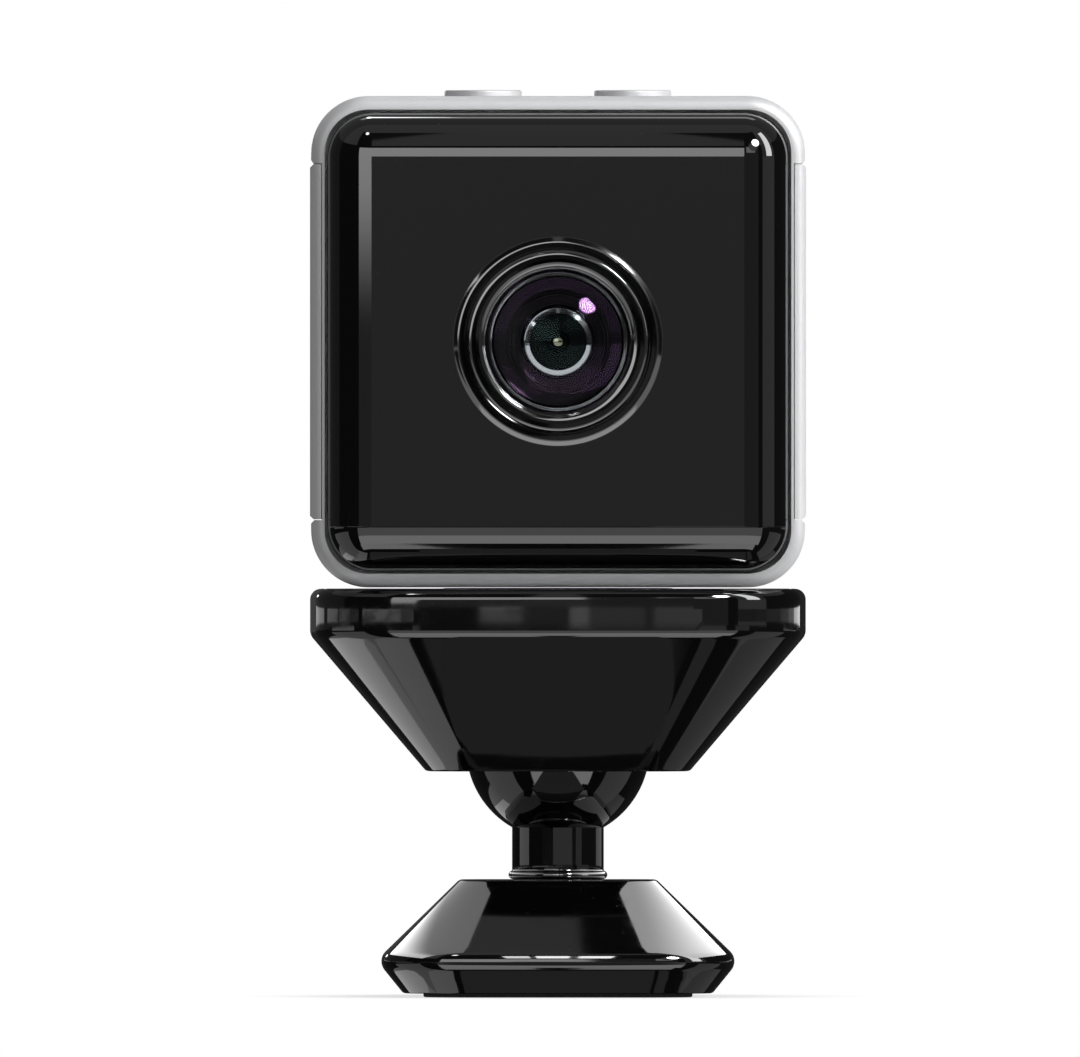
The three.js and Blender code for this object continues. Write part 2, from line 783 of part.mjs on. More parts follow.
const sensorY = filterY + filterThickness + sensorGap;
const sensorBoardY = sensorY + sensorThickness + seatGap;
const sensorBoardBackY = sensorBoardY + boardThickness;

// ---- Camera housing ---------------------------------------------------------------------------------

const panelInnerX = housingHalfX - panelThickness;
const pegPlaces = fourCorners(pegSpreadY, pegSpreadZ);
const coverScrewX = openingHalfX - coverScrewInset;
const coverScrewZ = openingHalfZ - coverScrewInset;
const coverScrewPlaces = fourCorners(coverScrewX, coverScrewZ);
const mainBoardZ = floorZ + mainBoardRise;
const mainBoardTopZ = mainBoardZ + boardThickness;
const mainBoardHalfX = innerHalfX - mainBoardInset;
const mainBoardRearY = rearLedgeY - boardMargin;
const mainBoardFrontY = sensorBoardBackY + mainBoardSpacing;
const standoffX = mainBoardHalfX - standoffInset;
const standoffPlaces = [
  [standoffX, mainBoardFrontY + standoffInset],
  [-standoffX, mainBoardFrontY + standoffInset],
  [standoffX, mainBoardRearY - standoffInset],
  [-standoffX, mainBoardRearY - standoffInset],
];
const trayZ = mainBoardTopZ + usbHeight + 2 * slideGap;
const trayFrontY = mainBoardFrontY + slideGap;
const trayRearY = rearLedgeY - trayRearGap;
const trayHalfX = innerHalfX - slideGap;
const plungerZ = roofZ - seatGap - buttonFlangeThickness - buttonPlunger;
const switchBoardTopZ = plungerZ - buttonTravel - seatGap - switchKnobHeight - switchHeight;
const switchBoardZ = switchBoardTopZ - boardThickness;
const switchBoardHalfX = innerHalfX - switchBoardInset;
const hangerX = switchBoardHalfX - hangerInset;
const hangerPinRadius = hangerRadius / 2;

// The housing's outside, grown by a little: rounded at both ends
function envelope(grow) {
  const halfX = housingHalfX + grow;
  const outline = roundedOutline([
    [halfX - housingWall, rimY],
    [halfX, rimY, housingFrontRound],
    [halfX, rearFaceY, housingRearRound],
    [halfX - housingWall, rearFaceY],
  ]);
  return solid(loftAlongY(outline.map(({ x, y }) => {
    const inset = halfX - x;
    return level(y, x, housingHalfZ + grow - inset, housingCorner + grow - inset);
  })));
}

// An outline in the plane across the camera, pushed along it. side is 1 for the right and -1 for the left.
function pushAlongY(outline, side, fromY, toY) {
  const shape = new THREE.Shape(outline.map(([x, z]) => new THREE.Vector2(side * x, z)));
  const geometry = new THREE.ExtrudeGeometry(shape, { depth: toY - fromY, bevelEnabled: false });
  return geometry.rotateX(Math.PI / 2).translate(0, toY, 0);
}

function panelPocket(side) {
  const depthX = panelInnerX - seatGap;
  const chamferX = housingHalfX - grooveChamfer;
  const outX = housingHalfX + overrun;
  const flare = panelHalfHeight + outX - chamferX;
  const outline = [
    [depthX, -panelHalfHeight], [chamferX, -panelHalfHeight], [outX, -flare],
    [outX, flare], [chamferX, panelHalfHeight], [depthX, panelHalfHeight],
  ];
  return solid(pushAlongY(outline, side, frontFaceY, rearFaceY + overrun));
}

function housing() {
  const [hollowFrontY, hollowRearY] = [frontLedgeY + ledgeThickness, rearLedgeY - ledgeThickness];
  const hollow = sleeve(innerHalfX, innerHalfZ, innerCorner, hollowFrontY, hollowRearY);
  const throughX = openingHalfX - ledgeWidth;
  const throughZ = openingHalfZ - ledgeWidth;
  const through = sleeve(throughX, throughZ, openingCorner - ledgeWidth, frontFaceY, rearFaceY + overrun);
  const frontRebate = sleeve(openingHalfX, openingHalfZ, openingCorner, frontFaceY, frontLedgeY);
  const rearRebate = sleeve(openingHalfX, openingHalfZ, openingCorner, rearLedgeY, rearFaceY + overrun);
  const shell = cut(envelope(0), hollow, through, frontRebate, rearRebate, panelPocket(1), panelPocket(-1));

  const coverBosses = coverScrewPlaces.map(([x, z]) => (
    solid(rodY(coverBossRadius, rearLedgeY - coverBossLength, rearLedgeY, x, z, screwFacets))
  ));
  const standoffs = standoffPlaces.map(([x, y]) => (
    solid(rodZ(standoffRadius, floorZ - seatGap, mainBoardZ - seatGap, x, y, screwFacets))
  ));
  const trayRibs = [1, -1].map((side) => solid(pushAlongY([
    [innerHalfX - trayRib, trayZ - seatGap - trayRib], [innerHalfX + seatGap, trayZ - seatGap - trayRib],
    [innerHalfX + seatGap, trayZ - seatGap], [innerHalfX - trayRib, trayZ - seatGap],
  ], side, trayFrontY, trayRearY)));
  const hangers = [hangerX, -hangerX].flatMap((x) => [
    solid(rodZ(hangerRadius, switchBoardTopZ + seatGap, roofZ + seatGap, x, buttonCentreY, screwFacets)),
    solid(rodZ(hangerPinRadius, switchBoardZ, roofZ, x, buttonCentreY, screwFacets)),
  ]);

  const boreFloorY = rearLedgeY - smallScrewLength;
  const coverBores = coverScrewPlaces.map(([x, z]) => (
    solid(rodY(smallScrewRadius + screwGap, boreFloorY, rearLedgeY + overrun, x, z, screwFacets))
  ));
  const buttonHoles = [buttonSpreadX, -buttonSpreadX].map((x) => (
    holeZ(buttonRadius + slideGap, roofZ, housingHalfZ, x, buttonCentreY, roundFacets)
  ));
  const [pegInX, pegOutX] = [innerHalfX - overrun, housingHalfX + overrun];
  const pegHoles = [1, -1].flatMap((side) => pegPlaces.map(([y, z]) => (
    solid(rodX(pegRadius + screwGap, side * pegInX, side * pegOutX, y, z, screwFacets))
  )));
  const inside = join(shell, ...coverBosses, ...standoffs, ...trayRibs, ...hangers);
  return part('housing', cut(inside, ...coverBores, ...buttonHoles, ...pegHoles), silver);
}

function sidePanel(name, side) {
  const topZ = panelHalfHeight - seatGap;
  const outX = housingHalfX + panelProud;
  const outline = [
    [panelInnerX, -topZ], [outX - grooveChamfer, -topZ], [outX, grooveChamfer - topZ],
    [outX, topZ - grooveChamfer], [outX - grooveChamfer, topZ], [panelInnerX, topZ],
  ];
  const blank = solid(pushAlongY(outline, side, frontFaceY, rearFaceY + overrun));
  const plate = blank.intersect(envelope(panelProud));
  const pegs = pegPlaces.map(([y, z]) => (
    solid(rodX(pegRadius, side * innerHalfX, side * (panelInnerX + seatGap), y, z, screwFacets))
  ));
  return part(name, join(plate, ...pegs), silver);
}

// ---- Front panel ------------------------------------------------------------------------------------

function frontPanel() {
  const capLevel = (inset, y) => level(y, frontHalfX - inset, frontHalfZ - inset, frontRound - inset);
  const edge = arc(0, rimY, frontRound, -90, 0, cornerSteps);
  const outside = solid(loftAlongY([
    ...edge.map(({ x, y }) => capLevel(frontRound - x, y)),
    capLevel(0, frontLedgeY - seatGap),
  ]));
  const innerRound = frontRound - frontWall;
  const innerLevel = (inset, y) => level(y, skirtHalfX - inset, skirtHalfZ - inset, innerRound - inset);
  const innerEdge = arc(0, rimY, innerRound, -90, 0);
  const hollow = solid(loftAlongY([
    ...innerEdge.map(({ x, y }) => innerLevel(innerRound - x, y)),
    innerLevel(0, frontLedgeY + overrun),
  ]));
  const postRootY = frontInnerY - seatGap;
  const posts = postPlaces.flatMap(([x, z]) => [
    solid(rodY(postRadius + postCollar, postRootY, infraredBoardY - seatGap, x, z, screwFacets)),
    solid(rodY(postRadius, postRootY, sensorBoardY - seatGap, x, z, screwFacets)),
  ]);
  const boreFloorY = sensorBoardBackY - smallScrewLength;
  const bores = postPlaces.map(([x, z]) => (
    solid(rodY(smallScrewRadius + screwGap, boreFloorY, sensorBoardY, x, z, screwFacets))
  ));
  const lensHole = holeY(bezelRadius + seatGap, frontFaceY, frontInnerY, 0, 0, ringFacets);
  return part('front_panel', cut(join(cut(outside, hollow), ...posts), ...bores, lensHole), panelBlack);
}

// ---- Lens -------------------------------------------------------------------------------------------

// Three polished crests with valleys between them; the innermost slopes down to the glass.
function lensBezel() {
  const crestY = frontFaceY - crestRise;
  const valley = (inner, outer, depth) => [(inner + outer) / 2, crestY + depth, valleyRound];
  const outline = roundedOutline([
    [glassRadius, bezelLipBackY],
    [glassRadius, bezelLipY],
    [innerCrestRadius, crestY + innerCrestSetback, crestRound],
    valley(innerCrestRadius, middleCrestRadius, valleyDepth),
    [middleCrestRadius, crestY + innerCrestSetback / 2, crestRound],
    valley(middleCrestRadius, outerCrestRadius, valleyDepth * 1.2),
    [outerCrestRadius, crestY, crestRound],
    [bezelRadius, frontFaceY],
    [bezelRadius, frontInnerY + seatGap],
    [bezelRadius + bezelFlange, frontInnerY + seatGap],
    [bezelRadius + bezelFlange, bezelBackY],
    [barrelRadius + slideGap, bezelBackY],
    [barrelRadius + slideGap, bezelLipBackY],
    [glassRadius, bezelLipBackY],
  ], crestSteps);
  return part('lens_bezel', turnedY(outline, ringFacets), glossBlack);
}

function lensBarrel() {
  const seatRadius = frontLensRadius + seatGap;
  const boreRadius = secondLensRadius + seatGap;
  const outline = points(
    [barrelRadius, barrelFrontY], [barrelRadius, barrelBackY], [boreRadius, barrelBackY],
    [boreRadius, innerRingBackY], [innerRingRadius, innerRingBackY], [innerRingRadius, innerRingY],
    [innerRingRadius + innerRingLand, innerRingY], [glassRadius - lensSeatStep, frontLensBackY + seatGap],
    [seatRadius, frontLensBackY + seatGap], [seatRadius, barrelFrontY], [barrelRadius, barrelFrontY],
  );
  return part('lens_barrel', turnedY(outline, ringFacets), mattBlack);
}

// Where a sphere about a point on the lens axis cuts a given radius, as an angle from the axis
function capAngle(radius, sphere) {
  return THREE.MathUtils.radToDeg(Math.asin(radius / sphere));
}

function frontLens() {
  const front = capAngle(frontLensRadius, frontLensSphere);
  const hollowRadius = frontLensRadius * lensHollowShare;
  const back = capAngle(hollowRadius, frontLensBackSphere);
  const backCentreY = frontLensBackY + Math.sqrt(frontLensBackSphere ** 2 - hollowRadius ** 2);
  const profile = [
    ...arc(0, frontLensApexY + frontLensSphere, frontLensSphere, -90, front - 90, lensSteps),
    new THREE.Vector2(frontLensRadius, frontLensBackY),
    ...arc(0, backCentreY, frontLensBackSphere, back - 90, -90),
  ];
  return part('front_lens', turnedY(profile, ringFacets), lensGlass);
}

// A lens domed towards the front and flat behind
function domedLens(name, radius, sphere, frontY, thickness) {
  const backY = frontY + Math.max(thickness, sagitta(radius, sphere) + seatGap);
  const profile = [
    ...arc(0, frontY + sphere, sphere, -90, capAngle(radius, sphere) - 90),
    ...points([radius, backY], [0, backY]),
  ];
  return part(name, turnedY(profile, roundFacets), lensGlass);
}

function lensStop() {
  const disc = solid(rodY(secondLensRadius, stopY, stopY + stopThickness));
  const hole = holeY(stopRadius, stopY, stopY + stopThickness);
  return part('lens_stop', cut(disc, hole), mattBlack);
}

function lensHolder() {
  const frontY = webY - holderGrip;
  const body = solid(box(-holderHalf, holderHalf, frontY, sensorBoardY - seatGap, -holderHalf, holderHalf));
  const bore = solid(rodY(barrelRadius + seatGap, frontY - overrun, webY, 0, 0, ringFacets));
  const windowX = sensorHalfX * windowShare;
  const windowZ = sensorHalfZ * windowShare;
  const window = solid(box(-windowX, windowX, frontY, filterY + overrun, -windowZ, windowZ));
  const room = sensorHalfX + 3 * slideGap;
  const pocket = solid(box(-room, room, webBackY, sensorBoardY, -room, room));
  return part('lens_holder', cut(body, bore, window, pocket), mattBlack);
}

function infraredFilter() {
  const half = filterHalf;
  return part('infrared_filter', box(-half, half, filterY, filterY + filterThickness, -half, half), lensGlass);
}

function imageSensor() {
  const [halfX, halfZ] = [sensorHalfX, sensorHalfZ];
  return part('image_sensor', box(-halfX, halfX, sensorY, sensorY + sensorThickness, -halfZ, halfZ), chipBlack);
}

// ---- Boards behind the front panel ----------------------------------------------------------------------

function sensorBoard() {
  const halfX = infraredHalfX - sensorBoardInset;
  const halfZ = infraredHalfZ - sensorBoardInset;
  const plate = solid(box(-halfX, halfX, sensorBoardY, sensorBoardBackY, -halfZ, halfZ));
  const holes = postPlaces.map(([x, z]) => (
    holeY(smallScrewRadius + slideGap, sensorBoardY, sensorBoardBackY, x, z)
  ));
  return part('sensor_board', cut(plate, ...holes), boardGreen);
}

// The image processor lies on the back of the sensor board.
function processor() {
  const frontY = sensorBoardBackY + seatGap;
  const half = processorHalf;
  return part('processor', box(-half, half, frontY, frontY + processorThickness, -half, half), chipBlack);
}

// Two screws on one diagonal hold the sensor board to the front panel's posts.
function sensorScrews() {
  return [postPlaces[0], postPlaces[2]].map(([x, z], i) => {
    const screw = smallScrew(`sensor_screw_${i + 1}`);
    screw.geometry.rotateX(-Math.PI / 2);
    screw.position.set(x, sensorBoardBackY + seatGap, z);
    return screw;
  });
}

function infraredBoard() {
  const backY = infraredBoardY + boardThickness;
  const [halfX, halfZ] = [infraredHalfX, infraredHalfZ];
  const plate = solid(box(-halfX, halfX, infraredBoardY, backY, -halfZ, halfZ));
  const lensHole = holeY(bezelRadius + bezelFlange + slideGap, infraredBoardY, backY, 0, 0, ringFacets);
  const postHoles = postPlaces.map(([x, z]) => (
    holeY(postRadius + slideGap, infraredBoardY, backY, x, z)
  ));
  return part('infrared_board', cut(plate, lensHole, ...postHoles), boardGreen);
}

function infraredLeds() {
  const half = ledSide / 2;
  const backY = infraredBoardY - seatGap;
  return fourCorners(infraredHalfX - ledInset, infraredHalfZ - ledInset).map(([x, z], i) => {
    const geometry = box(x - half, x + half, backY - ledHeight, backY, z - half, z + half);
    return part(`infrared_led_${i + 1}`, geometry, ledClear);
  });
}

function lightSensor() {
  const half = ledSide / 4;
  const backY = infraredBoardY - seatGap;
  const z = (bezelRadius + bezelFlange + infraredHalfZ) / 2;
  const geometry = box(-half, half, backY - ledHeight / 2, backY, z - half, z + half);
  return part('light_sensor', geometry, chipBlack);
}

// ---- Main board and battery ---------------------------------------------------------------------------

function mainBoard() {
  const width = 2 * mainBoardHalfX;
  const geometry = block(0, width, mainBoardFrontY, mainBoardRearY, mainBoardZ, mainBoardTopZ);
  return part('main_board', geometry, boardGreen);
}

function radioModule() {
  const frontY = (mainBoardFrontY + mainBoardRearY - radioLength) / 2;
  const topZ = mainBoardZ - seatGap;
  const geometry = block(0, radioWidth, frontY, frontY + radioLength, topZ - radioHeight, topZ);
  return part('radio_module', geometry, steel);
}

const usbRearY = rearFaceY - usbSetback;
const usbZ = mainBoardTopZ + seatGap;
const usbCentreX = portInset + usbWidth / 2 - mainBoardHalfX;
const cardCentreX = mainBoardHalfX - cardWidth / 2 - portInset;
const usbCentreZ = usbZ + usbHeight / 2;
const cardCentreZ = usbZ + cardHeight / 2;

// A rounded rectangular prism along the camera about a given place
function slot(halfX, halfZ, corner, fromY, toY, x, z) {
  const geometry = loftAlongY([level(fromY, halfX, halfZ, corner), level(toY, halfX, halfZ, corner)]);
  return geometry.translate(x, 0, z);
}

function usbPort() {
  const [halfX, halfZ] = [usbWidth / 2, usbHeight / 2];
  const corner = halfZ - slideGap;
  const frontY = usbRearY - usbDepth;
  const usbSlot = (inset, fromY, toY) => (
    solid(slot(halfX - inset, halfZ - inset, corner - inset, fromY, toY, usbCentreX, usbCentreZ))
  );
  const [tongueLeft, tongueRight] = [usbCentreX - usbTongueHalf, usbCentreX + usbTongueHalf];
  const tongue = solid(box(tongueLeft, tongueRight, frontY + seatGap, usbRearY - usbTongueSetback,
    usbCentreZ - usbSkin, usbCentreZ + usbSkin));
  const shell = cut(usbSlot(0, frontY, usbRearY), usbSlot(usbSkin, frontY + usbFloor, usbRearY + overrun));
  return part('usb_port', join(shell, tongue), steel);
}

function memoryCardSlot() {
  const rearY = rearLedgeY - seatGap;
  const frontY = rearY - cardDepth;
  const skin = solid(block(cardCentreX, cardWidth, frontY, rearY, usbZ, usbZ + cardHeight));
  const mouth = solid(block(cardCentreX, cardWidth - 2 * cardSkinX, frontY + cardSkinX, rearY + overrun,
    usbZ + cardSkinZ, usbZ + cardHeight - cardSkinZ));
  return part('memory_card_slot', cut(skin, mouth), steel);
}

function batteryTray() {
  const floorTop = trayZ + trayThickness;
  const lipTop = floorTop + trayLip;
  const plate = solid(box(-trayHalfX, trayHalfX, trayFrontY, trayRearY, trayZ, floorTop));
  const frontLip = solid(box(-trayHalfX, trayHalfX, trayFrontY, trayFrontY + trayThickness, trayZ, lipTop));
  const rearLip = solid(box(-trayHalfX, trayHalfX, trayRearY - trayThickness, trayRearY, trayZ, lipTop));
  return part('battery_tray', join(plate, frontLip, rearLip), mattBlack);
}

function battery() {
  const bottomZ = trayZ + trayThickness + seatGap;
  const topZ = switchBoardZ - batteryHeadroom;
  const halfX = trayHalfX - batteryMargin;
  const halfY = (trayRearY - trayFrontY) / 2 - trayThickness - slideGap;
  const pouch = loft([level(bottomZ, halfX, halfY, batteryRound), level(topZ, halfX, halfY, batteryRound)]);
  return part('battery', pouch.translate(0, (trayFrontY + trayRearY) / 2, 0), batteryFoil);
}

function antenna() {
  const wallX = -innerHalfX + seatGap;
  const bottomZ = -antennaHeight / 2 + antennaRise;
  const geometry = box(wallX, wallX + antennaThickness, -antennaLength / 2, antennaLength / 2,
    bottomZ, bottomZ + antennaHeight);
  return part('antenna', geometry, naturalPlastic);
}

function steelDisc() {
  const bottomZ = floorZ + seatGap;
  const topZ = bottomZ + steelDiscThickness;
  return part('steel_disc', rodZ(steelDiscRadius, bottomZ, topZ, 0, 0, ringFacets), steel);
}

// ---- Push buttons and their switches ----------------------------------------------------------------

function switchBoard() {
  const half = switchBoardDepth / 2;
  const plate = solid(box(-switchBoardHalfX, switchBoardHalfX, buttonCentreY - half, buttonCentreY + half,
    switchBoardZ, switchBoardTopZ));
  const holes = [hangerX, -hangerX].map((x) => (
    holeZ(hangerPinRadius + screwGap, switchBoardZ, switchBoardTopZ, x, buttonCentreY)
  ));
  return part('switch_board', cut(plate, ...holes), boardGreen);
}

function pushSwitch(name, x) {
  const half = switchSide / 2;
  const bottomZ = switchBoardTopZ + seatGap;
  const bodyTopZ = switchBoardTopZ + switchHeight;
  const y = buttonCentreY;
  const body = solid(box(x - half, x + half, y - half, y + half, bottomZ, bodyTopZ));
  const knobTopZ = bodyTopZ + switchKnobHeight;
  const knob = solid(rodZ(switchKnobRadius, bodyTopZ - seatGap, knobTopZ, x, y, screwFacets));
  return part(name, join(body, knob), chipBlack);
}

function button(name, x) {
  const topZ = housingHalfZ + buttonProud;
  const flangeTop = roofZ - seatGap;
  const flangeBottom = flangeTop - buttonFlangeThickness;
  const flangeRadius = buttonRadius + buttonFlange;
  const profile = [
    ...points([0, plungerZ], [buttonPlungerRadius, plungerZ], [buttonPlungerRadius, flangeBottom],
      [flangeRadius, flangeBottom], [flangeRadius, flangeTop], [buttonRadius, flangeTop]),
    ...arc(buttonRadius - buttonRound, topZ - buttonRound, buttonRound, 0, 90, crestSteps),
    new THREE.Vector2(0, topZ),
  ];
  return part(name, turnedZ(profile, roundFacets).translate(x, buttonCentreY, 0), buttonSilver);
}

// ---- Rear cover -------------------------------------------------------------------------------------

function rearCover() {
  const gap = seatGap;
  const [halfX, halfZ, corner] = [openingHalfX - gap, openingHalfZ - gap, openingCorner - gap];
  const outline = roundedOutline([
    [halfX, rearLedgeY + gap], [halfX, rearFaceY, coverRound], [halfX - 2 * coverRound, rearFaceY],
  ]);
  const plate = solid(loftAlongY(outline.map(({ x, y }) => {
    const inset = halfX - x;
    return level(y, x, halfZ - inset, corner - inset);
  })));
  const fromY = rearLedgeY - overrun;
  const toY = rearFaceY + overrun;
  const usbMouth = solid(slot(usbWidth / 2 + slideGap, usbHeight / 2 + slideGap, usbHeight / 2, fromY, toY,
    usbCentreX, usbCentreZ));
  const cardHalfX = cardWidth / 2 - cardSkinX + slideGap;
  const cardHalfZ = cardHeight / 2 - cardSkinZ + slideGap;
  const cardMouth = solid(slot(cardHalfX, cardHalfZ, cardHalfZ / 2, fromY, toY, cardCentreX, cardCentreZ));
  const fingerNotch = solid(rodZ(notchRadius, cardCentreZ - notchHalfHeight, cardCentreZ + notchHalfHeight,
    cardCentreX, rearFaceY + notchRadius - notchDepth));
  const [aside, up] = [coverFeatureSpread, coverFeatureHeight];
  const soundHole = solid(rodY(soundHoleRadius, fromY, toY, -aside, up, screwFacets));
  const lightHole = solid(rodY(statusLightRadius + screwGap, fromY, toY, aside, up));
  const screwHoles = coverScrewPlaces.flatMap(([x, z]) => [
    solid(rodY(smallScrewRadius + slideGap, fromY, toY, x, z, screwFacets)),
    solid(rodY(smallScrewHeadRadius + slideGap, rearFaceY - smallScrewHeadHeight - slideGap, toY, x, z)),
  ]);
  const holes = [usbMouth, cardMouth, fingerNotch, soundHole, lightHole, ...screwHoles];
  return part('rear_cover', cut(plate, ...holes), mattBlack);
}

function rearScrews() {
  return coverScrewPlaces.map(([x, z], i) => {
    const screw = smallScrew(`rear_screw_${i + 1}`);
    screw.geometry.rotateX(-Math.PI / 2);
    screw.position.set(x, rearFaceY - smallScrewHeadHeight - seatGap, z);
    return screw;
  });
}

function microphone() {
  const backY = rearLedgeY - seatGap;
  const frontY = backY - microphoneHeight;
  const geometry = rodY(microphoneRadius, frontY, backY, -coverFeatureSpread, coverFeatureHeight);
  return part('microphone', geometry, steel);
}

function statusLight() {
  const backY = rearLedgeY - seatGap;
  const frontY = backY - statusLightFlange;
  const flangeRadius = statusLightRadius + statusLightFlange;
  const outline = points(
    [0, frontY], [flangeRadius, frontY], [flangeRadius, backY],
    [statusLightRadius, backY], [statusLightRadius, rearFaceY], [0, rearFaceY],
  );
  const geometry = turnedY(outline, roundFacets).translate(coverFeatureSpread, 0, coverFeatureHeight);
  return part('status_light', geometry, ledClear);
}

// ---- Assembly ---------------------------------------------------------------------------------------

function group(...pieces) {
  const holder = new THREE.Group();
  holder.add(...pieces.flat());
  return holder;
}

const foot = group(baseShell(), baseWeight(), basePlate(), basePad());
const stem = group(ballStem(), stemScrew(), stemWasher());
const head = group(
  headShell(), pressureCup(), ballRetainer(), retainerScrews(), headMagnet(), headCover(), gripPad(),
);
const lens = group(
  lensBezel(), lensBarrel(), frontLens(),
  domedLens('second_lens', secondLensRadius, secondLensSphere, secondLensY, secondLensThickness),
  lensStop(),
  domedLens('rear_lens', secondLensRadius, rearLensSphere, rearLensY, rearLensThickness),
  lensHolder(), infraredFilter(), imageSensor(),
);
const electronics = group(
  sensorBoard(), processor(), sensorScrews(), infraredBoard(), infraredLeds(), lightSensor(),
  mainBoard(), radioModule(), usbPort(), memoryCardSlot(), batteryTray(), battery(), antenna(),
  switchBoard(), pushSwitch('power_switch', -buttonSpreadX), pushSwitch('reset_switch', buttonSpreadX),
  microphone(),
);
const body = group(
  housing(), sidePanel('left_side_panel', -1), sidePanel('right_side_panel', 1), frontPanel(),
  rearCover(), rearScrews(), statusLight(), steelDisc(),
);
const buttons = group(button('power_button', -buttonSpreadX), button('reset_button', buttonSpreadX));
const camera = group(body, lens, electronics, buttons);
camera.position.z = cameraCentreZ;

export default group(foot, stem, head, camera);
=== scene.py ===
import math

import bmesh
import bpy
from mathutils import Matrix, Vector


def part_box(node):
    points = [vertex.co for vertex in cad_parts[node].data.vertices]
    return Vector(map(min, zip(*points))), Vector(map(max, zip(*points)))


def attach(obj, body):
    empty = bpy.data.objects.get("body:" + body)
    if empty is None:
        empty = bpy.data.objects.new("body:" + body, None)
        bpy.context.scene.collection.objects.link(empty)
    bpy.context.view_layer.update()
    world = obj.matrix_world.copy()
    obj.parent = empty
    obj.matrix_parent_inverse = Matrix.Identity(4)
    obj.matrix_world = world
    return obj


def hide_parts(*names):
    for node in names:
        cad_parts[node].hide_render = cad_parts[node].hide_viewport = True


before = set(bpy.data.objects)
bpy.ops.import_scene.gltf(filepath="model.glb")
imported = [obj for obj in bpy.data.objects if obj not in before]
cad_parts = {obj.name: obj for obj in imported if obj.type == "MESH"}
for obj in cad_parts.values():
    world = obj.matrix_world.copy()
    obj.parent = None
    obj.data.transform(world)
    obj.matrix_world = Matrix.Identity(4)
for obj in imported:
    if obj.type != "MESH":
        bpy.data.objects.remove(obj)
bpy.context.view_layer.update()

METRE = 0.001  # metres in a millimetre
X, Y, Z = range(3)

# ---- Sizes ----
# Places come from the boxes of the CAD parts in model.glb; what those boxes can't say is named here, in
# millimetres.
# A crown is the swell of a flat side at its middle, as a share of the piece's half width there.

GAP = 0.05  # between pieces that are fixed to each other
OVERRUN = 1  # by which a cutter runs past what it cuts
TIP = 0.05  # half width of the tiny square on which a loft starts or ends
CORNER_STEPS = 20

HEAD_BOTTOM_HALF = 8.55
HEAD_BAND_HEIGHT = 3.0
HEAD_BAND_ROUND = 0.9
HEAD_TOP_ROUND = 0.7
HEAD_BOTTOM_CORNER = 3.4
HEAD_BAND_CORNER = 7.0
HEAD_WALL = 1.4
HEAD_FLOOR_RISE = 1.3  # above the ball's centre
HEAD_ROOM_FLOOR_CORNER = 3.6
HEAD_ROOM_CORNER = 5.6
HEAD_COVER_RIM = 0.9
HEAD_CROWN = 0.022
EDGE_ROUND = 0.35

FOOT_TOP_HALF = 6.4
FOOT_BOTTOM_HALF = 10.05
FOOT_WIDE_HALF = 11.75
FOOT_SKIRT_HEIGHT = 2.1
FOOT_TOP_CORNER = 1.9
FOOT_WIDE_CORNER = 5.4
FOOT_WALL = 1.3
FOOT_CROWN = 0.012
FOOT_WIDE_ROUND = 0.9
FOOT_BOTTOM_ROUND = 0.2
WEIGHT_CHAMFER = 1.6
STEM_SCREW_HOLE = 1.62
TREAD_PITCH = 2.2
TREAD_INSET = 1.4

STEM_RADIUS = 2.97
STEM_BORE = 1.55
BORE_END_Z = 11.7
BORE_TIP_Z = 12.5
COLLAR_RADIUS = 3.2
COLLAR_HEIGHT = 0.55
COLLAR_FILLET = 0.12
BALL_RADIUS = 5.95
BALL_CLEARANCE = 0.12

HOUSING_CORNER = 3.7
HOUSING_WALL = 1.2
RIM_WIDTH = 0.88
RIM_ROUND = 0.8
REAR_ROUND = 0.6
REBATE_DEPTH = 2.0
LEDGE = 1.25
LEDGE_THICKNESS = 1.2
PANEL_HALF_HEIGHT = 11.5
PANEL_THICKNESS = 0.66
PANEL_PROUD = 0.07
GROOVE_CHAMFER = 0.22
FRONT_ROUND = 2.88
FRONT_WALL = 1.3
COVER_THICKNESS = 1.6
COVER_ROUND = 0.25
NOTCH_RADIUS = 3.0
NOTCH_HALF_HEIGHT = 1.3
NOTCH_SETBACK = 2.4  # of its centre behind the cover
SOUND_HOLE_RADIUS = 0.45
SCREW_SEAT_RADIUS = 1.5
SCREW_SEAT_DEPTH = 0.8
SCREW_HOLE_RADIUS = 0.9

OUTER_CREST = 6.45
MIDDLE_CREST = 5.68
INNER_CREST = 4.97
BEZEL_RADIUS = 6.72
BEZEL_BORE = 5.3
GLASS_RADIUS = 4.25
FRONT_LENS_SPHERE = 7.2
FRONT_LENS_BACK_SPHERE = 5
FRONT_LENS_EDGE = 0.9
FRONT_LENS_HOLLOW = 0.72  # share of its radius
INNER_RING_RADIUS = 2.42
INNER_RING_CHAMFER = 0.35
SECOND_RADIUS = 2.9
SECOND_SPHERE = 5.0
REAR_DOME_RADIUS = 0.74
REAR_DOME_SPHERE = 0.85
RING_HOLE = 1.82
RING_CREST = 2.14
RING_OUTSIDE = 2.4
RING_HEIGHT = 0.38
RING_LEAN = 0.104
RING_SETBACK = 1.1
RING_THICKNESS = 0.5
BARREL_GROOVES = 7

BUTTON_RADIUS = 2.5
BUTTON_ROUND = 0.12
BUTTON_FLANGE = 0.6
BUTTON_FLANGE_THICKNESS = 0.8
BUTTON_STEM = 1.2
BUTTON_DISH = 0.06

LIGHT_RADIUS = 0.9
LIGHT_DOME = 0.2
SCREW_HEAD_RADIUS = 1.4
SCREW_SHANK_RADIUS = 0.8
SCREW_SHANK = 3.2
RECESS_LENGTH = 0.62
RECESS_WIDTH = 0.13
RECESS_DEPTH = 0.42


